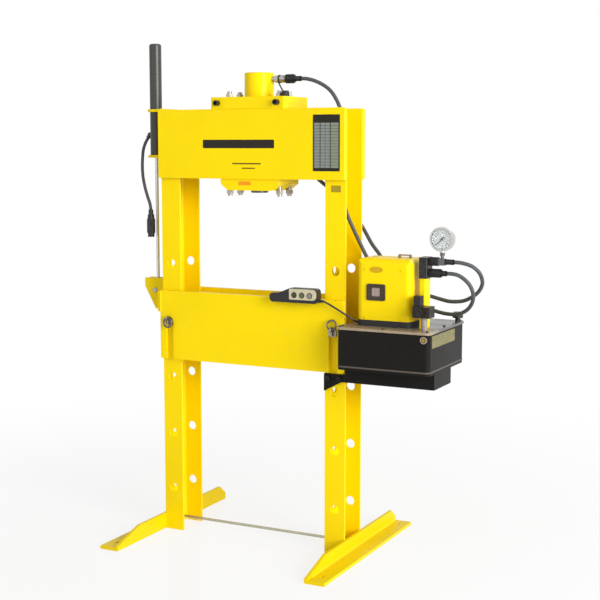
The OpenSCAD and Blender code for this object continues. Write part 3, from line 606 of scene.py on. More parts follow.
def plated_steel(name, colour, roughness=0.24):
    """Zinc plate: pale, faintly mottled, brightest where it is handled."""
    f = Finish(name)
    mottle = f.noise(120.0, 5.0, 0.65)
    drift = f.noise(9.0, 2.0, 0.5)
    base = f.blend(f.between(mottle, 0.35, 0.7, 0.0, 0.5), colour, shade(colour, 0.72))
    base = f.blend(f.between(drift, 0.45, 0.8, 0.0, 0.3), base, (0.56, 0.5, 0.38))
    return f.done(Base_Color=base, Metallic=0.95, Normal=f.bump(mottle, 0.0001, 0.3),
                  Roughness=f.between(mottle, 0.3, 0.75, roughness, roughness + 0.2))


def black_oxide(name):
    """Chemically blackened steel, greyer where it is handled."""
    f = Finish(name)
    haze = f.noise(70.0, 6.0, 0.65)
    base = f.blend(f.between(haze, 0.4, 0.75), (0.018, 0.018, 0.02), (0.05, 0.047, 0.044))
    return f.done(Base_Color=base, Roughness=f.between(haze, 0.3, 0.8, 0.3, 0.52), Metallic=0.55,
                  Normal=f.bump(haze, 0.0001, 0.35))


def moulded(name, colour, roughness=0.42, grain=900.0):
    """Moulded plastic with a spark-eroded grain and a little handling shine."""
    f = Finish(name)
    grainy = f.noise(grain, 3.0, 0.6)
    handled = f.noise(22.0, 3.0, 0.5)
    base = f.blend(f.between(handled, 0.35, 0.75, 0.0, 0.5), colour, shade(colour, 0.8))
    return f.done(Base_Color=base, Normal=f.bump(grainy, 0.00012, 0.35),
                  Roughness=f.between(handled, 0.3, 0.75, roughness - 0.08, roughness + 0.1),
                  Specular_IOR_Level=0.3)


def moulded_coil(name, split):
    """Black moulded coil above a height, and the pale metal tube it stands on below."""
    f = Finish(name)
    grainy = f.noise(700.0, 3.0, 0.6)
    tube = f.between(f.height(2), split, split + 0.0004, 1.0, 0.0)
    base = f.blend(tube, (0.016, 0.013, 0.01), (0.34, 0.3, 0.28))
    soiled = f.between(f.noise(40.0, 4.0, 0.6), 0.45, 0.8, 0.0, 0.4)
    base = f.blend(soiled, base, (0.03, 0.024, 0.018))
    return f.done(Base_Color=base, Normal=f.bump(grainy, 0.00012, 0.35), Roughness=0.42,
                  Specular_IOR_Level=0.3)


def hose_cover(name, colour, roughness, wrap, wrap_depth):
    """Rubber cover that keeps the print of its wrapping cloth. U runs along in metres."""
    f = Finish(name, "UV")
    turns = f.wave(wrap, "DIAGONAL", 0.4, f.stretched((1.0, 0.06, 1.0)))
    weave = f.noise(1.0, 2.0, 0.6, f.stretched((2200.0, 90.0, 1.0)))
    dusty = f.noise(1.0, 4.0, 0.6, f.stretched((14.0, 1.6, 1.0)))
    base = f.blend(f.between(dusty, 0.4, 0.75), colour, shade(colour, 1.55))
    base = f.blend(f.between(turns, 0.0, 0.35, 0.25, 0.0), base, shade(colour, 0.5))
    cloth = f.bump(weave, 0.0002, 0.35)
    return f.done(Base_Color=base, Normal=f.bump(turns, wrap_depth, 0.5, cloth),
                  Roughness=f.between(dusty, 0.3, 0.7, roughness, roughness + 0.16),
                  Specular_IOR_Level=0.45)


def cast_alloy(name, colour):
    """Sand-cast aluminium."""
    f = Finish(name)
    sand = f.noise(260.0, 5.0, 0.7)
    base = f.blend(f.between(sand, 0.35, 0.7), shade(colour, 0.75), colour)
    return f.done(Base_Color=base, Roughness=0.55, Metallic=0.8, Normal=f.bump(sand, 0.0004, 0.6))


def printed_film(name, colour, roughness=0.38, mottle=0.1):
    """A plain printed film, a little blotchy with handling."""
    f = Finish(name)
    blotch = f.noise(45.0, 4.0, 0.6)
    base = f.blend(f.between(blotch, 0.35, 0.75, 0.0, mottle * 5), colour, shade(colour, 0.78))
    return f.done(Base_Color=base, Normal=f.bump(f.noise(600.0, 2.0), 0.0001, 0.15),
                  Roughness=f.between(blotch, 0.3, 0.8, roughness - 0.06, roughness + 0.12),
                  Specular_IOR_Level=0.2)


def clear_glass(name):
    """Gauge glass, faintly smeared."""
    f = Finish(name)
    smear = f.noise(30.0, 3.0, 0.5)
    return f.done(Base_Color=(0.96, 0.98, 0.98), Roughness=0.03, Transmission_Weight=1.0, IOR=1.45,
                  Normal=f.bump(smear, 0.00002, 0.1))


def mix_finishes(context):
    """Every finish of the press by its shop name, mixed once."""
    tone = context.scene.press_finishes
    yellow, black = tuple(tone.yellow), tuple(tone.black)
    gloss = tone.enamel_roughness
    bed_top = corners("bed_front")[1].z
    coil_foot = corners("solenoid_coil")[0].z + COIL_TUBE
    return {
        "yellow": enamel("yellow_enamel", yellow, gloss),
        # The feet get the yellow enamel darkened: painted shade for their dimmer tops.
        "foot yellow shaded": enamel("foot_enamel_painted_shade", shade(yellow, 0.88), gloss + 0.04),
        "bed yellow": worn_enamel("bed_enamel", yellow, gloss, bed_top, WORN_DEPTH),
        "black": enamel("black_enamel", black, 0.4, 0.0004, 0.05, 0.08, 0.08),
        # The lift barrel's enamel is greyer than the black enamel, partly as a painted highlight,
        # with a strong specular level.
        "dark grey highlit": enamel("lift_enamel_painted_highlight", (0.04, 0.04, 0.036), 0.3, 0.0003, 0.05, 0.08, 0.4),
        "lid": lid_browner_at_front("lid_enamel", corners("reservoir_lid")[0].y),
        "weld": enamel("weld_enamel", shade(yellow, 0.9), gloss + 0.1, 0.0006, 0.3),
        "chrome rod": turned_steel("ground_rod", (0.66, 0.66, 0.68), 0.16),
        "turned y": turned_steel("pin_steel", (0.36, 0.31, 0.26), 0.34, 1, 500.0, 0.6),
        "plated": plated_steel("zinc_plate", (0.42, 0.41, 0.38), 0.34),
        "gauge steel": plated_steel("gauge_steel", (0.62, 0.63, 0.61), 0.38),
        "tie rod": plated_steel("dull_zinc", (0.46, 0.45, 0.34), 0.4),
        "oxide": black_oxide("black_oxide"),
        "saddle": turned_steel("saddle_steel", (0.16, 0.155, 0.15), 0.4, 2, 300.0, 0.6),
        "bronze": turned_steel("gland_bronze", (0.5, 0.42, 0.28), 0.35, 2, 700.0, 0.4),
        "hose": hose_cover("hose_cover", tuple(tone.hose), 0.42, 28.0, 0.0003),
        "cord": hose_cover("cord_sheath", (0.022, 0.022, 0.024), 0.38, 60.0, 0.0001),
        "rubber": moulded("soft_rubber", (0.025, 0.025, 0.026), 0.6, 500.0),
        "black plastic": moulded("black_plastic", (0.02, 0.02, 0.021), 0.4),
        "cream plastic": moulded("cream_plastic", tuple(tone.cream), 0.34),
        "coil": moulded_coil("coil_plastic", coil_foot),
        "casting": cast_alloy("motor_casting", (0.28, 0.29, 0.3)),
        "handle": moulded("handle_grip", (0.3, 0.2, 0.12), 0.5, 300.0),
        "dial": printed_film("dial_face", (0.93, 0.94, 0.92), 0.45, 0.02),
        "ink": printed_film("dial_ink", (0.24, 0.245, 0.24), 0.4, 0.05),
        "film black": printed_film("film_black", (0.016, 0.013, 0.008), 0.42),
        "film grey": printed_film("film_grey", (0.23, 0.25, 0.23), 0.4, 0.12),
        "film tint": printed_film("film_tint", (0.22, 0.26, 0.19), 0.4, 0.12),
        "film pale": printed_film("film_pale", (0.36, 0.28, 0.25), 0.4, 0.1),
        "panel": moulded("panel_plastic", (0.045, 0.032, 0.02), 0.42),
        "seam": enamel("seam_enamel", (0.1, 0.083, 0.07), 0.45, 0.0006, 0.2),
        "sight ring": plated_steel("sight_ring", (0.42, 0.34, 0.31), 0.34),
        "film yellow": printed_film("film_yellow", (0.62, 0.36, 0.006), 0.4),
        "film brown": printed_film("film_brown", (0.16, 0.09, 0.004), 0.4),
        "film orange": printed_film("film_orange", (0.88, 0.32, 0.012), 0.4),
        "film olive": printed_film("film_olive", (0.38, 0.27, 0.015), 0.38, 0.14),
        "film lichen": printed_film("film_lichen", (0.21, 0.19, 0.08), 0.42, 0.3),
        "glass": clear_glass("gauge_glass"),
        "green": moulded("green_key", (0.1, 0.125, 0.05), 0.34),
        "dark key": moulded("dark_key", (0.06, 0.052, 0.03), 0.34),
        "grey key": moulded("grey_key", (0.24, 0.24, 0.21), 0.34),
    }


finishes = {}

NODE_FINISH = {
    "yellow": ["upright_left", "upright_right", "bolster_front", "bolster_rear",
               "head_top_plate", "head_bottom_plate", "cylinder_barrel", "lift_mount",
               "bed_spacers", "bed_lift_bracket", "motor_shroud", "valve_manifold"],
    "foot yellow shaded": ["foot_left", "foot_right"],
    "bed yellow": ["bed_front", "bed_rear"],
    "black": ["shelf_arm_front", "shelf_arm_rear", "shelf_cross_plates", "reservoir"],
    "dark grey highlit": ["lift_barrel"],
    "lid": ["reservoir_lid"],
    "chrome rod": ["ram", "lift_rod", "motor_rotor"],
    "turned y": ["bed_pin_left", "bed_pin_right"],
    "plated": ["head_tie_rods", "quick_couplers", "lift_clevis_pin"],
    "gauge steel": ["gauge_case"],
    "tie rod": ["base_tie_rod"],
    "oxide": ["socket_screws", "hose_fittings", "valve_head", "lift_coupler"],
    "saddle": ["ram_saddle", "pull_ring_left", "pull_ring_right", "gauge_adaptor"],
    "bronze": ["cylinder_gland"],
    "rubber": ["dust_cap"],
    "black plastic": ["breather_cap", "cord_glands", "pendant_body"],
    "coil": ["solenoid_coil"],
    "casting": ["pump_element", "motor_body"],
    "handle": ["lifting_handle"],
    "glass": ["gauge_lens"],
    "ink": ["gauge_needle"],
    "dark key": ["button_start"],
    "green": ["button_advance"],
    "grey key": ["button_retract"],
}


# ---- stage

def floor_material():
    """A pale surface that clears to plain white between two distances from the press.
    The camera, the metal and the glass see it clear, and it is lit plainly for all else."""
    f = Finish("studio_floor")
    away = f.add("ShaderNodeVectorMath", {0: f.place}, operation="LENGTH").outputs["Value"]
    clearing = f.between(away, CLEAR_FROM, CLEAR_TO, FLOOR_CLEAR, 1.0)
    clearing.node.interpolation_type = "SMOOTHSTEP"
    white = f.add("ShaderNodeEmission", {"Strength": 1.0})
    f.whiten(f.arithmetic("MULTIPLY", f.seen(), clearing), f.shader, white, "Material Output")
    return f.done(Base_Color=FLOOR_COLOUR, Roughness=0.14, Specular_IOR_Level=0.12)


def studio_world(strength):
    """Even light of a given strength, seen as plain white."""
    world = bpy.data.worlds.new("studio")
    bpy.context.scene.world = world
    sky = Nodes(world)
    even = sky.fill(sky.tree.nodes["Background"], {"Color": WHITE, "Strength": strength})
    white = sky.add("ShaderNodeBackground", {"Color": WHITE, "Strength": 1.0})
    sky.whiten(sky.seen(), even, white, "World Output")


def soft_lamp(name, place, aim, size, power):
    data = bpy.data.lights.new(name, "AREA")
    data.shape, data.size, data.energy = "DISK", size, power
    lamp = bpy.data.objects.new(name, data)
    bpy.context.collection.objects.link(lamp)
    lamp.location = place
    lamp.rotation_euler = (Vector(aim) - Vector(place)).to_track_quat("-Z", "Y").to_euler()
    return lamp


class PRESS_OT_stage(bpy.types.Operator):
    """Stands the camera, the floor and the lamps round the press"""
    bl_idname = "press.stage"
    bl_label = "Stage"

    def execute(self, context):
        setting = context.scene.press_stage
        data = bpy.data.cameras.new("camera")
        data.sensor_width, data.lens = SENSOR_WIDE, setting.lens
        data.clip_end = FAR_CLIP
        camera = bpy.data.objects.new("camera", data)
        context.collection.objects.link(camera)
        place, aim = Vector(setting.camera_place), Vector(setting.aim)
        camera.location = place
        camera.rotation_euler = (aim - place).to_track_quat("-Z", "Y").to_euler()
        context.scene.camera = camera

        studio_world(setting.sky)
        for name, spot, size, share in STUDIO_LAMPS:
            soft_lamp(name, spot, aim, size, setting.key_power * share)

        nothing_selected()
        bpy.ops.mesh.primitive_plane_add(size=FLOOR_WIDE, location=(0, 0, -FLOOR_DROP))
        floor = context.object
        floor.name = "studio_floor"
        floor.data.materials.append(floor_material())
        context.scene.view_settings.view_transform = "Standard"
        return {"FINISHED"}


# ---- hoses and cord

def eased(route, step):
    """A smooth line through the points of a route, one point every step metres."""
    points = [Vector(p) * MM for p in route]
    ends = [2 * points[0] - points[1]] + points + [2 * points[-1] - points[-2]]
    fine = []
    for i in range(1, len(ends) - 2):
        a, b, c, d = ends[i - 1:i + 3]
        for k in range(SPLINE_STEPS):
            t = k / SPLINE_STEPS
            fine.append(0.5 * ((2 * b) + (c - a) * t + (2 * a - 5 * b + 4 * c - d) * t * t
                               + (3 * b - a - 3 * c + d) * t ** 3))
    fine.append(points[-1])
    lengths = [0.0]
    for a, b in zip(fine, fine[1:]):
        lengths.append(lengths[-1] + (b - a).length)
    count = max(2, round(lengths[-1] / step))
    out, j = [], 0
    for i in range(count + 1):
        want = lengths[-1] * i / count
        while j < len(lengths) - 2 and lengths[j + 1] < want:
            j += 1
        span = lengths[j + 1] - lengths[j]
        out.append(fine[j].lerp(fine[j + 1], (want - lengths[j]) / span if span else 0.0))
    return out


def sweep(name, line, radius, around):
    """A closed round tube along a line; its UV map runs in metres along and once round."""
    mesh = bmesh.new()
    uv = mesh.loops.layers.uv.new("cover")
    side = (line[1] - line[0]).orthogonal().normalized()
    rings, travelled = [], [0.0]
    for i, point in enumerate(line):
        ahead = (line[min(i + 1, len(line) - 1)] - line[max(i - 1, 0)]).normalized()
        side = (side - side.dot(ahead) * ahead).normalized()
        up = ahead.cross(side)
        rings.append([mesh.verts.new(point + radius * (math.cos(a) * side + math.sin(a) * up))
                      for a in (2 * math.pi * k / around for k in range(around))])
        if i:
            travelled.append(travelled[-1] + (point - line[i - 1]).length)
    for i in range(len(rings) - 1):
        for k in range(around):
            n = (k + 1) % around
            face = mesh.faces.new((rings[i][k], rings[i][n], rings[i + 1][n], rings[i + 1][k]))
            face.smooth = True
            at = ((i, k), (i, k + 1), (i + 1, k + 1), (i + 1, k))
            for loop, (ring, turn) in zip(face.loops, at):
                loop[uv].uv = (travelled[ring], turn / around)
    mesh.faces.new(list(reversed(rings[0])))
    mesh.faces.new(rings[-1])
    data = bpy.data.meshes.new(name)
    mesh.to_mesh(data)
    mesh.free()
    obj = bpy.data.objects.new(name, data)
    bpy.context.collection.objects.link(obj)
    return obj


def coil_turns():
    """The pendant cord's own turns: three layers of three, wound inwards and outwards by turns."""
    points = []
    cx, cy = COIL_CENTRE
    start = math.radians(COIL_START)
    plan = []
    for floor, height in enumerate(COIL_FLOORS):
        radii = COIL_RADII if floor % 2 == 0 else COIL_RADII[::-1]
        plan += [(radius, height) for radius in radii]
    for i, (radius, height) in enumerate(plan):
        last = i == len(plan) - 1
        next_radius, next_height = plan[i if last else i + 1]
        for k in range(COIL_POINTS + 1 if last else COIL_POINTS):
            t = k / COIL_POINTS
            ease = min(1.0, max(0.0, (t - COIL_STAY) / (1 - COIL_STAY)))
            ease = ease * ease * (3 - 2 * ease)
            r = radius + (next_radius - radius) * ease
            h = height + (next_height - height) * ease
            a = start - 2 * math.pi * t
            points.append((cx + r * math.cos(a), cy + r * math.sin(a), h))
    return points


class PRESS_OT_hoses(bpy.types.Operator):
    """Lays the two main hoses, the lift cylinder's hose and the pendant's cord"""
    bl_idname = "press.hoses"
    bl_label = "Hoses and cord"

    def execute(self, context):
        size = context.scene.press_hoses
        runs = [("advance_hose", ADVANCE_ROUTE, size.hose_diameter, "object", "loose"),
                ("retract_hose", RETRACT_ROUTE, size.hose_diameter, "object", "loose"),
                ("lift_hose", LIFT_ROUTE, size.lift_diameter, "connector", "hanging")]
        for node, route, diameter, far_end, lay in runs:
            line = eased(route, diameter * STEP_SHARE)
            hose = sweep(node + "_cover", line, diameter / 2, size.around)
            fit(hose, "hose", "frame")
            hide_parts(node)

        route = PENDANT_ROUTE + coil_turns() + PENDANT_TAIL
        line = eased(route, size.cord_diameter * STEP_SHARE)
        cord = sweep("pendant_cord_sheath", line, size.cord_diameter / 2, CORD_FACETS)
        coat(cord, "cord")
        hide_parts("pendant_lead", "pendant_cord", "pendant_coil")
        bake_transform(cord)
        return {"FINISHED"}


# ---- steelwork

def weld_bead(start, end, radius):
    """A rippled bead laid along a seam."""
    start, end = Vector(start), Vector(end)
    run = end - start
    bead = new_rod("bead", start, end, radius, 10)
    ripples = max(4, round(run.length / RIPPLE))
    axis = max(range(3), key=lambda i: abs(run[i]))
    with editing(bead):
        pick_edges(bead, along(axis))
        bpy.ops.mesh.subdivide(number_cuts=ripples * 2 - 1)
        pitch = run.length / (ripples * 2)
        pick_points(bead, lambda p: round((p - start).length / pitch) % 2 == 0)
        squeeze = [BEAD_NECK] * 3
        squeeze[axis] = 1.0
        bpy.ops.transform.resize(value=squeeze, center_override=(start + end) / 2)
    return smooth(bead, 60)


class PRESS_OT_welds(bpy.types.Operator):
    """Runs the weld beads along the seams of the frame and of the bed"""
    bl_idname = "press.welds"
    bl_label = "Weld beads"

    def execute(self, context):
        r = context.scene.press_details.weld
        fine = r * FINE_BEAD
        web_low, web_high = corners("upright_right")
        low, high = corners("bolster_front")
        foot_top = corners("foot_right")[1].z - STOP_SHORT
        beads = []
        for side in (-1, 1):
            inner, outer = side * web_low.x, side * web_high.x
            for face in (low.y + BOLSTER_SEAT, -low.y - BOLSTER_SEAT):
                beads.append(weld_bead((inner, face, low.z), (outer, face, low.z), r))
                beads.append(weld_bead((inner, face, low.z), (inner, face, high.z - STOP_SHORT),
                                       fine))
            for face in (web_low.y, web_high.y):
                beads.append(weld_bead((outer, face, STOP_SHORT), (outer, face, foot_top), r))
        mount_low, mount_high = corners("lift_mount")
        for face in (mount_low.y, mount_high.y):
            beads.append(weld_bead((-web_high.x, face, mount_low.z),
                                   (-web_high.x, face, web_high.z - STOP_SHORT), fine))
        fit(join("frame_welds", beads), "weld", "frame")

        bed_low, bed_high = corners("bed_front")
        plate_low, plate_high = corners("bed_lift_bracket")
        bottom = plate_low.z + STOP_SHORT
        beads = [weld_bead((bed_low.x, face, bottom), (bed_low.x, face, bed_high.z - BED_DROP), r)
                 for face in (bed_low.y, -bed_low.y)]
        seam = plate_high.x - BRACKET_SEAM
        beads += [weld_bead((seam, face, bottom), (seam, face, bed_high.z - BRACKET_DROP), fine)
                  for face in BRACKET_FACES]
        fit(join("bed_welds", beads), "weld", "bed")
        return {"FINISHED"}


class PRESS_OT_prints(bpy.types.Operator):
    """Sets the rating chart, the plain stripes and the blank plate on the front"""
    bl_idname = "press.prints"
    bl_label = "Chart and stripes"

    def execute(self, context):
        detail = context.scene.press_details
        depth = detail.print_depth
        face = corners("bolster_front")[0].y

        chart = [coat(front_plate("chart_back", face, CHART_PLATE, 2 * depth,
                                  corner=CHART_CORNER), "film black")]
        for column, (x0, x1) in enumerate(CHART_COLUMNS):
            cells = made(bpy.ops.mesh.primitive_grid_add, "cells", (x1 - x0, CHART_TALL, 1),
                         x_subdivisions=1 + column % 2, y_subdivisions=detail.chart_rows, size=1,
                         location=((x0 + x1) / 2, face - 2 * depth, CHART_MIDDLE), rotation=UPRIGHT)
            with editing(cells):
                bpy.ops.mesh.select_all(action="SELECT")
                push((0, -LINE_RISE * depth, 0))
                bpy.ops.mesh.inset(thickness=CHART_LINE, use_individual=True)
                push((0, -CELL_RISE * depth, 0))
                bpy.ops.mesh.select_all(action="SELECT")
                bpy.ops.mesh.normals_make_consistent(inside=False)
            coat(cells, "film black", "film tint" if column == 2 else "film grey")
            lines = face - (2 + LINE_RISE + CELL_RISE / 2) * depth
            coat_faces(cells, 1, lambda c, n: n.y < -0.9 and c.y < lines)
            chart.append(cells)
        mount(join("rating_chart", chart), "frame")

        stripes = [coat(front_plate("band", face, field, depth, steps=4,
                                    corner=(field[1][1] - field[0][1]) * BAND_CORNER), film)
                   for field, film in BANDS]
        mount(join("bolster_stripes", stripes), "frame")

        low = corners("head_bottom_plate")[0]
        patch = front_plate("head_patch", low.y, [(x, low.z + z) for x, z in HEAD_PATCH], depth,
                            corner=HEAD_CORNER)
        fit(patch, "film orange", "frame")

        face = corners("upright_right")[0].y
        tag = [coat(front_plate("blank_plate", face, TAG_PLATE, TAG_THICK, rim=BLANK_RIM),
                    "film olive")]
        tag += [coat(new_rod("rivet", (x, face - RIVET_TOP, RIVET_Z),
                             (x, face - RIVET_FOOT, RIVET_Z), RIVET_RADIUS, 16), "plated")
                for x in RIVET_XS]
        mount(join("frame_tag", tag), "frame")
        return {"FINISHED"}


# ---- fittings

def knurled_sleeve(x0, x1, y, z, radius, ribs=36):
    """A hand collar with a rib at every second facet, along X."""
    def every_other(c, n):
        turn = math.atan2(c.z - z, c.y - y) / (math.pi / ribs)
        return abs(n.x) < 0.3 and math.floor(turn) % 2 == 0

    sleeve = new_rod("collar", (x0, y, z), (x1, y, z), radius, ribs * 2)
    with editing(sleeve):
        pick_faces(sleeve, lambda c, n: abs(n.x) > 0.9)
        bpy.ops.mesh.inset(thickness=radius * COLLAR_FACE)
        pick_faces(sleeve, every_other)
        bpy.ops.mesh.inset(thickness=KNURL_GAP, use_individual=True)
        bpy.ops.transform.shrink_fatten(value=KNURL_RISE)
    return smooth(sleeve, 25)


def crimped_ferrule(x0, x1, y, z):
    """A hose ferrule with crimp grooves rolled round it, along X."""
    ferrule = new_rod("ferrule", (x0, y, z), (x1, y, z), FERRULE, 40)
    with editing(ferrule):
        pick_edges(ferrule, along(0))
        bpy.ops.mesh.subdivide(number_cuts=8)
        pick_points(ferrule, lambda p: round((p.x - x0) / (x1 - x0) * 9) in CRIMPED)
        bpy.ops.transform.resize(value=(1, CRIMP, CRIMP), center_override=((x0 + x1) / 2, y, z))
    round_edges(ferrule, 0.0006, 2, 20)
    return smooth(ferrule, 30)


class PRESS_OT_fittings(bpy.types.Operator):
    """Turns the knurled collars and crimped ferrules at the hose ends"""
    bl_idname = "press.fittings"
    bl_label = "Hose fittings"

    def execute(self, context):
        barrel = ((0, ADVANCE_ROUTE[0][2] * MM), (0, LOWER_PORT_Z))
        valve = ((VALVE_PORT_Y, RETRACT_PORT_Z), (VALVE_PORT_Y, ADVANCE_PORT_Z))
        port_x = corners("valve_head")[1].x + PORT_GAP
        collars = [knurled_sleeve(*span, *place, radius) for span, place, radius in
                   zip(BARREL_COLLARS, barrel, (TOP_COLLAR, HAND_COLLAR))]
        collars += [knurled_sleeve(port_x, end, *place, HAND_COLLAR)
                    for end, place in zip(VALVE_COLLARS, valve)]
        ferrules = [crimped_ferrule(*span, *place)
                    for span, place in zip(FERRULES, barrel + valve[::-1])]
        fit(join("hand_collars", collars), "oxide", "frame")
        fit(join("hose_ferrules", ferrules), "oxide", "frame")

        x, y = LIFT_ROUTE[-1][0] * MM, LIFT_ROUTE[-1][1] * MM
        low, high = corners("lift_coupler")
        grip = new_rod("lift_grip", (x, y, low.z + GRIP_FROM), (x, y, high.z - GRIP_TO), LIFT_GRIP,
                       64)
        with editing(grip):
            pick_faces(grip, lambda c, n: abs(n.z) < 0.3)
            bpy.ops.mesh.inset(thickness=GRIP_GAP, use_individual=True)
            bpy.ops.transform.shrink_fatten(value=-GRIP_SUNK)
        fit(smooth(grip, 25), "oxide", "frame")
        return {"FINISHED"}


# ---- pump

def wrapped_band(name, low, high, bottom, top, proud, corner):
    """A band round the walls of a box with rounded corners, standing a little proud of them.
    Its bottom and top are measured from the foot of the box."""
    band = new_block(name, (low.x - proud, low.y - proud, low.z + bottom),
                     (high.x + proud, high.y + proud, low.z + top))
    with editing(band):
        pick_edges(band, along(2))
        bpy.ops.mesh.bevel(offset=corner + proud, segments=10)
        pick_faces(band, lambda c, n: abs(n.z) > 0.9)
        bpy.ops.mesh.inset(thickness=proud + BAND_WALL)
        bpy.ops.mesh.bridge_edge_loops()
    return smooth(band)


def screw_head(seat, axis, side, tall, radius, top_radius, lip, socket):
    """A socket screw's head that stands out from a surface along one axis."""
    foot, crown = list(seat), list(seat)
    foot[axis] -= side * SCREW_SEAT
    crown[axis] += side * tall
    screw = new_rod("screw", foot, crown, radius, SCREW_FACETS, top_radius)
    return smooth(sink(screw, axis, side, lip, socket))


class PRESS_OT_pump(bpy.types.Operator):
    """Dresses the motor's shroud and the tank: control panel, badge, screws and patch"""
    bl_idname = "press.pump"
    bl_label = "Pump"

    def execute(self, context):
        low, high = corners("motor_shroud")
        face = low.y
        panel = front_plate("panel", face, PANEL, PANEL_TOP, PANEL_FOOT, PANEL_CORNER, 5, PANEL_RIM)
        coat(smooth(round_edges(panel, PANEL_ROUND, 2, 50)), "panel")
        screen = front_plate("screen", face, SCREEN, SCREEN_TOP, SCREEN_FOOT, SCREEN_CORNER,
                             rim=SCREEN_RIM)
        coat(screen, "film pale")
        lamps = [coat(new_rod("lamp", (x, face - LAMP_TOP, z), (x, face - LAMP_FOOT, z),
                              LAMP_RADIUS, 20), "film brown") for x, z in LAMPS]
        mount(join("control_panel", [panel, screen] + lamps), "frame")

        x, z = BADGE_CENTRE
        badge = made(bpy.ops.mesh.primitive_cylinder_add, "blank_badge", BADGE_SIZE, vertices=64,
                     radius=1, depth=1, location=(x, face - BADGE_OFF, z), rotation=UPRIGHT)
        fit(sink(badge, 1, -1, *BLANK_RIM), "film yellow", "frame")

        lid_low, lid_high = corners("reservoir_lid")
        left, right = lid_low.x + LID_SCREW_INSET, lid_high.x - LID_SCREW_INSET
        places = [(x, y) for x in (left, (lid_low.x + lid_high.x) / 2, right)
                  for y in (lid_low.y + LID_SCREW_INSET, lid_high.y - LID_SCREW_INSET)]
        places += zip((left, right), ODD_SCREW_YS)
        screws = [screw_head((x, y, lid_high.z), 2, 1, *LID_SCREW) for x, y in places]
        fit(join("lid_screws", screws), "oxide", "frame")

        screws = [screw_head((x, face, z), 1, -1, *SHROUD_SCREW)
                  for x in (low.x + SHROUD_SCREW_INSET, high.x - SHROUD_SCREW_INSET)
                  for z in (low.z + SHROUD_SCREW_FOOT, high.z - SHROUD_SCREW_TOP)]
        fit(join("shroud_screws", screws), "yellow", "frame")

        # A dark band round the shroud's foot, set where only the shade under the shroud falls:
        # painted shade.
        shade_band = wrapped_band("shroud_painted_shade_band", low, high, *SHROUD_SHADE_BAND)
        fit(shade_band, "rubber", "frame")

        low, high = corners("reservoir")
        front = low.y + TANK_SETBACK
        seam = wrapped_band("tank_seam", Vector((low.x, front, low.z)),
                            Vector((high.x, -front, high.z)), *TANK_SEAM)
        fit(round_edges(seam, SEAM_ROUND, 2, 50), "seam", "frame")

        sight = new_rod("sight_ring", (SIGHT_X, low.y - SIGHT_TOP, SIGHT_Z),
                        (SIGHT_X, front - SIGHT_FOOT, SIGHT_Z), SIGHT_RADIUS, 48)
        round_edges(sink(sight, 1, -1, *SIGHT_RIM), SIGHT_ROUND, 2, 50)
        coat(smooth(sight), "sight ring", "film olive")
        coat_faces(sight, 1, lambda c, n: n.y < -0.9 and c.y > low.y + GLASS_DEPTH)
        mount(sight, "frame")

        (y0, z0), (y1, z1) = TANK_PATCH
        patch = cut_plate("tank_patch", (high.x + PATCH_FOOT, y0, z0), (high.x + PATCH_TOP, y1, z1),
                          0, PATCH_CORNER, 4)
        fit(sink(patch, 0, 1, *PATCH_RIM), "film lichen", "frame")
        return {"FINISHED"}


class PRESS_OT_gauge(bpy.types.Operator):
    """Prints the dial's graduations and numbers"""
    bl_idname = "press.gauge"
    bl_label = "Gauge"

    def execute(self, context):
        face = corners("gauge_case")[0].y + DIAL_DEPTH
        lens_low, lens_high = corners("gauge_lens")
        middle = (lens_low + lens_high) / 2
        dial = new_rod("dial_card", (middle.x, face + FINE_GAP, middle.z),
                       (middle.x, face - CARD_THICK, middle.z), DIAL_RADIUS, 72)
        with editing(dial):
            pick_faces(dial, facing(1, -1))
            bpy.ops.mesh.inset(thickness=DIAL_RIM)

        hub = Vector((middle.x, face - CARD_THICK - FINE_GAP, middle.z))
        marks, numbers = [], []
        for i in range(MARK_COUNT + 1):
            turn = math.radians(SWEEP_START + SWEEP * i / MARK_COUNT)
            long, wide = SHORT_MARK if i % MARKS_A_NUMBER else LONG_MARK
            out = Vector((math.sin(turn), 0, math.cos(turn)))
            across = Vector((math.cos(turn), 0, -math.sin(turn)))
            centre = hub + out * (PRINT_RADIUS - long / 2)
            marks.append(made(bpy.ops.mesh.primitive_plane_add, "mark", size=1, location=(0, 0, 0)))
            for vertex, (s, t) in zip(marks[-1].data.vertices,
                                      ((-1, -1), (1, -1), (-1, 1), (1, 1))):
                vertex.co = centre + across * s * wide + out * t * long / 2
            if i % MARKS_A_NUMBER:
                continue
            nothing_selected()
            bpy.ops.object.text_add(location=hub + out * NUMBER_RADIUS, rotation=UPRIGHT)
            number = context.object
            number.data.body = str(i // MARKS_A_NUMBER * 100)
            number.data.size = NUMBER_TALL
            number.data.align_x, number.data.align_y = "CENTER", "CENTER"
            bpy.ops.object.convert(target="MESH")
            numbers.append(freeze(number))
        ink = join("dial_marks", marks + numbers)
        with editing(ink):
            bpy.ops.mesh.select_all(action="SELECT")
            push((0, INK_THICK, 0))
            bpy.ops.mesh.select_all(action="SELECT")
            bpy.ops.mesh.normals_make_consistent(inside=False)
        fit(dial, "dial", "frame")
        fit(ink, "ink", "frame")
        return {"FINISHED"}


# ---- pendant

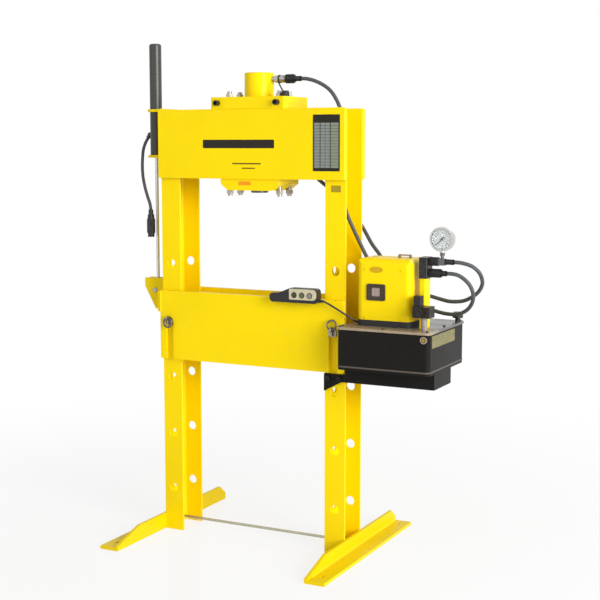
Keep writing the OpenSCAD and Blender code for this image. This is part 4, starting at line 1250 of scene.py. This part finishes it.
class PRESS_OT_pendant(bpy.types.Operator):
    """Fits the pendant's cream face plate and the collars of its three keys"""
    bl_idname = "press.pendant"
    bl_label = "Pendant"

    def execute(self, context):
        front = corners("pendant_body")[0].y
        spots = []
        for key in KEYS:
            low, high = corners(key)
            spots.append(((low.x + high.x) / 2, (low.z + high.z) / 2, (high.x - low.x) / 2))

        (x0, z0), (x1, z1) = FACE_PLATE
        plate = new_block("pendant_face", (x0, front - PLATE_THICK, z0), (x1, front, z1))
        middle = (x0 + x1) / 2
        with editing(plate):
            for side, corner, steps in PLATE_ENDS:
                pick_edges(plate, lambda a, b: along(1)(a, b) and (a.x - middle) * side > 0)
                bpy.ops.mesh.bevel(offset=corner, segments=steps)
        cutter = join("cut", [new_rod("cut", (x, front - CUT_REACH, z), (x, front + CUT_REACH, z),
                                      radius + KEY_GAP, 48) for x, z, radius in spots])
        choose(plate)
        hole = plate.modifiers.new("holes", "BOOLEAN")
        hole.operation, hole.object, hole.solver = "DIFFERENCE", cutter, "EXACT"
        bpy.ops.object.modifier_apply(modifier=hole.name)
        bpy.data.objects.remove(cutter)
        round_edges(plate, PLATE_ROUND, 2, 40)
        smooth(plate, 40)
        level = plate.modifiers.new("level", "WEIGHTED_NORMAL")
        level.keep_sharp = True
        bpy.ops.object.modifier_apply(modifier=level.name)
        fit(plate, "cream plastic", "bed")

        rings = []
        for x, z, radius in spots:
            rings.append(made(
                bpy.ops.mesh.primitive_torus_add, "ring", location=(x, front - COLLAR_REST, z),
                rotation=UPRIGHT, major_radius=radius + COLLAR_GAP, minor_radius=COLLAR_WIRE,
                major_segments=48, minor_segments=10))
        collars = smooth(join("key_collars", rings), 60)
        fit(collars, "black plastic", "bed")
        return {"FINISHED"}


# ---- paint everything

class PRESS_OT_finishes(bpy.types.Operator):
    """Mixes the finishes and gives every steel, rubber and plastic node its own"""
    bl_idname = "press.finishes"
    bl_label = "Finishes"

    def execute(self, context):
        finishes.update(mix_finishes(context))
        for finish, nodes in NODE_FINISH.items():
            for node in nodes:
                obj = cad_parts[node]
                if not obj.material_slots:
                    obj.data.materials.append(None)
                for slot in obj.material_slots:
                    slot.link = "OBJECT"
                    slot.material = finishes[finish]
        return {"FINISHED"}


class PRESS_PT_panel(bpy.types.Panel):
    """Lists the steps that dress the press"""
    bl_label = "Workshop press"
    bl_idname = "PRESS_PT_panel"
    bl_space_type = "VIEW_3D"
    bl_region_type = "UI"
    bl_category = "Press"

    def draw(self, context):
        for step in STEPS:
            self.layout.operator(step.bl_idname)
        for group in ("press_finishes", "press_hoses", "press_details", "press_stage"):
            settings = getattr(context.scene, group)
            box = self.layout.box()
            for name in settings.__annotations__:
                box.prop(settings, name)


STEPS = (PRESS_OT_stage, PRESS_OT_finishes, PRESS_OT_hoses, PRESS_OT_welds, PRESS_OT_prints,
         PRESS_OT_fittings, PRESS_OT_pump, PRESS_OT_gauge, PRESS_OT_pendant)
GROUPS = {"press_finishes": PressFinishes, "press_hoses": PressHoses,
          "press_details": PressDetails, "press_stage": PressStage}


def register():
    for group in GROUPS.values():
        bpy.utils.register_class(group)
    for step in STEPS:
        bpy.utils.register_class(step)
    bpy.utils.register_class(PRESS_PT_panel)
    for name, group in GROUPS.items():
        setattr(bpy.types.Scene, name, PointerProperty(type=group))


def unregister():
    for name in GROUPS:
        delattr(bpy.types.Scene, name)
    bpy.utils.unregister_class(PRESS_PT_panel)
    for step in reversed(STEPS):
        bpy.utils.unregister_class(step)
    for group in reversed(list(GROUPS.values())):
        bpy.utils.unregister_class(group)


def main():
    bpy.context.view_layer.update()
    register()
    for step in STEPS:
        group, name = step.bl_idname.split(".")
        getattr(getattr(bpy.ops, group), name)()


if __name__ == "__main__":
    main()
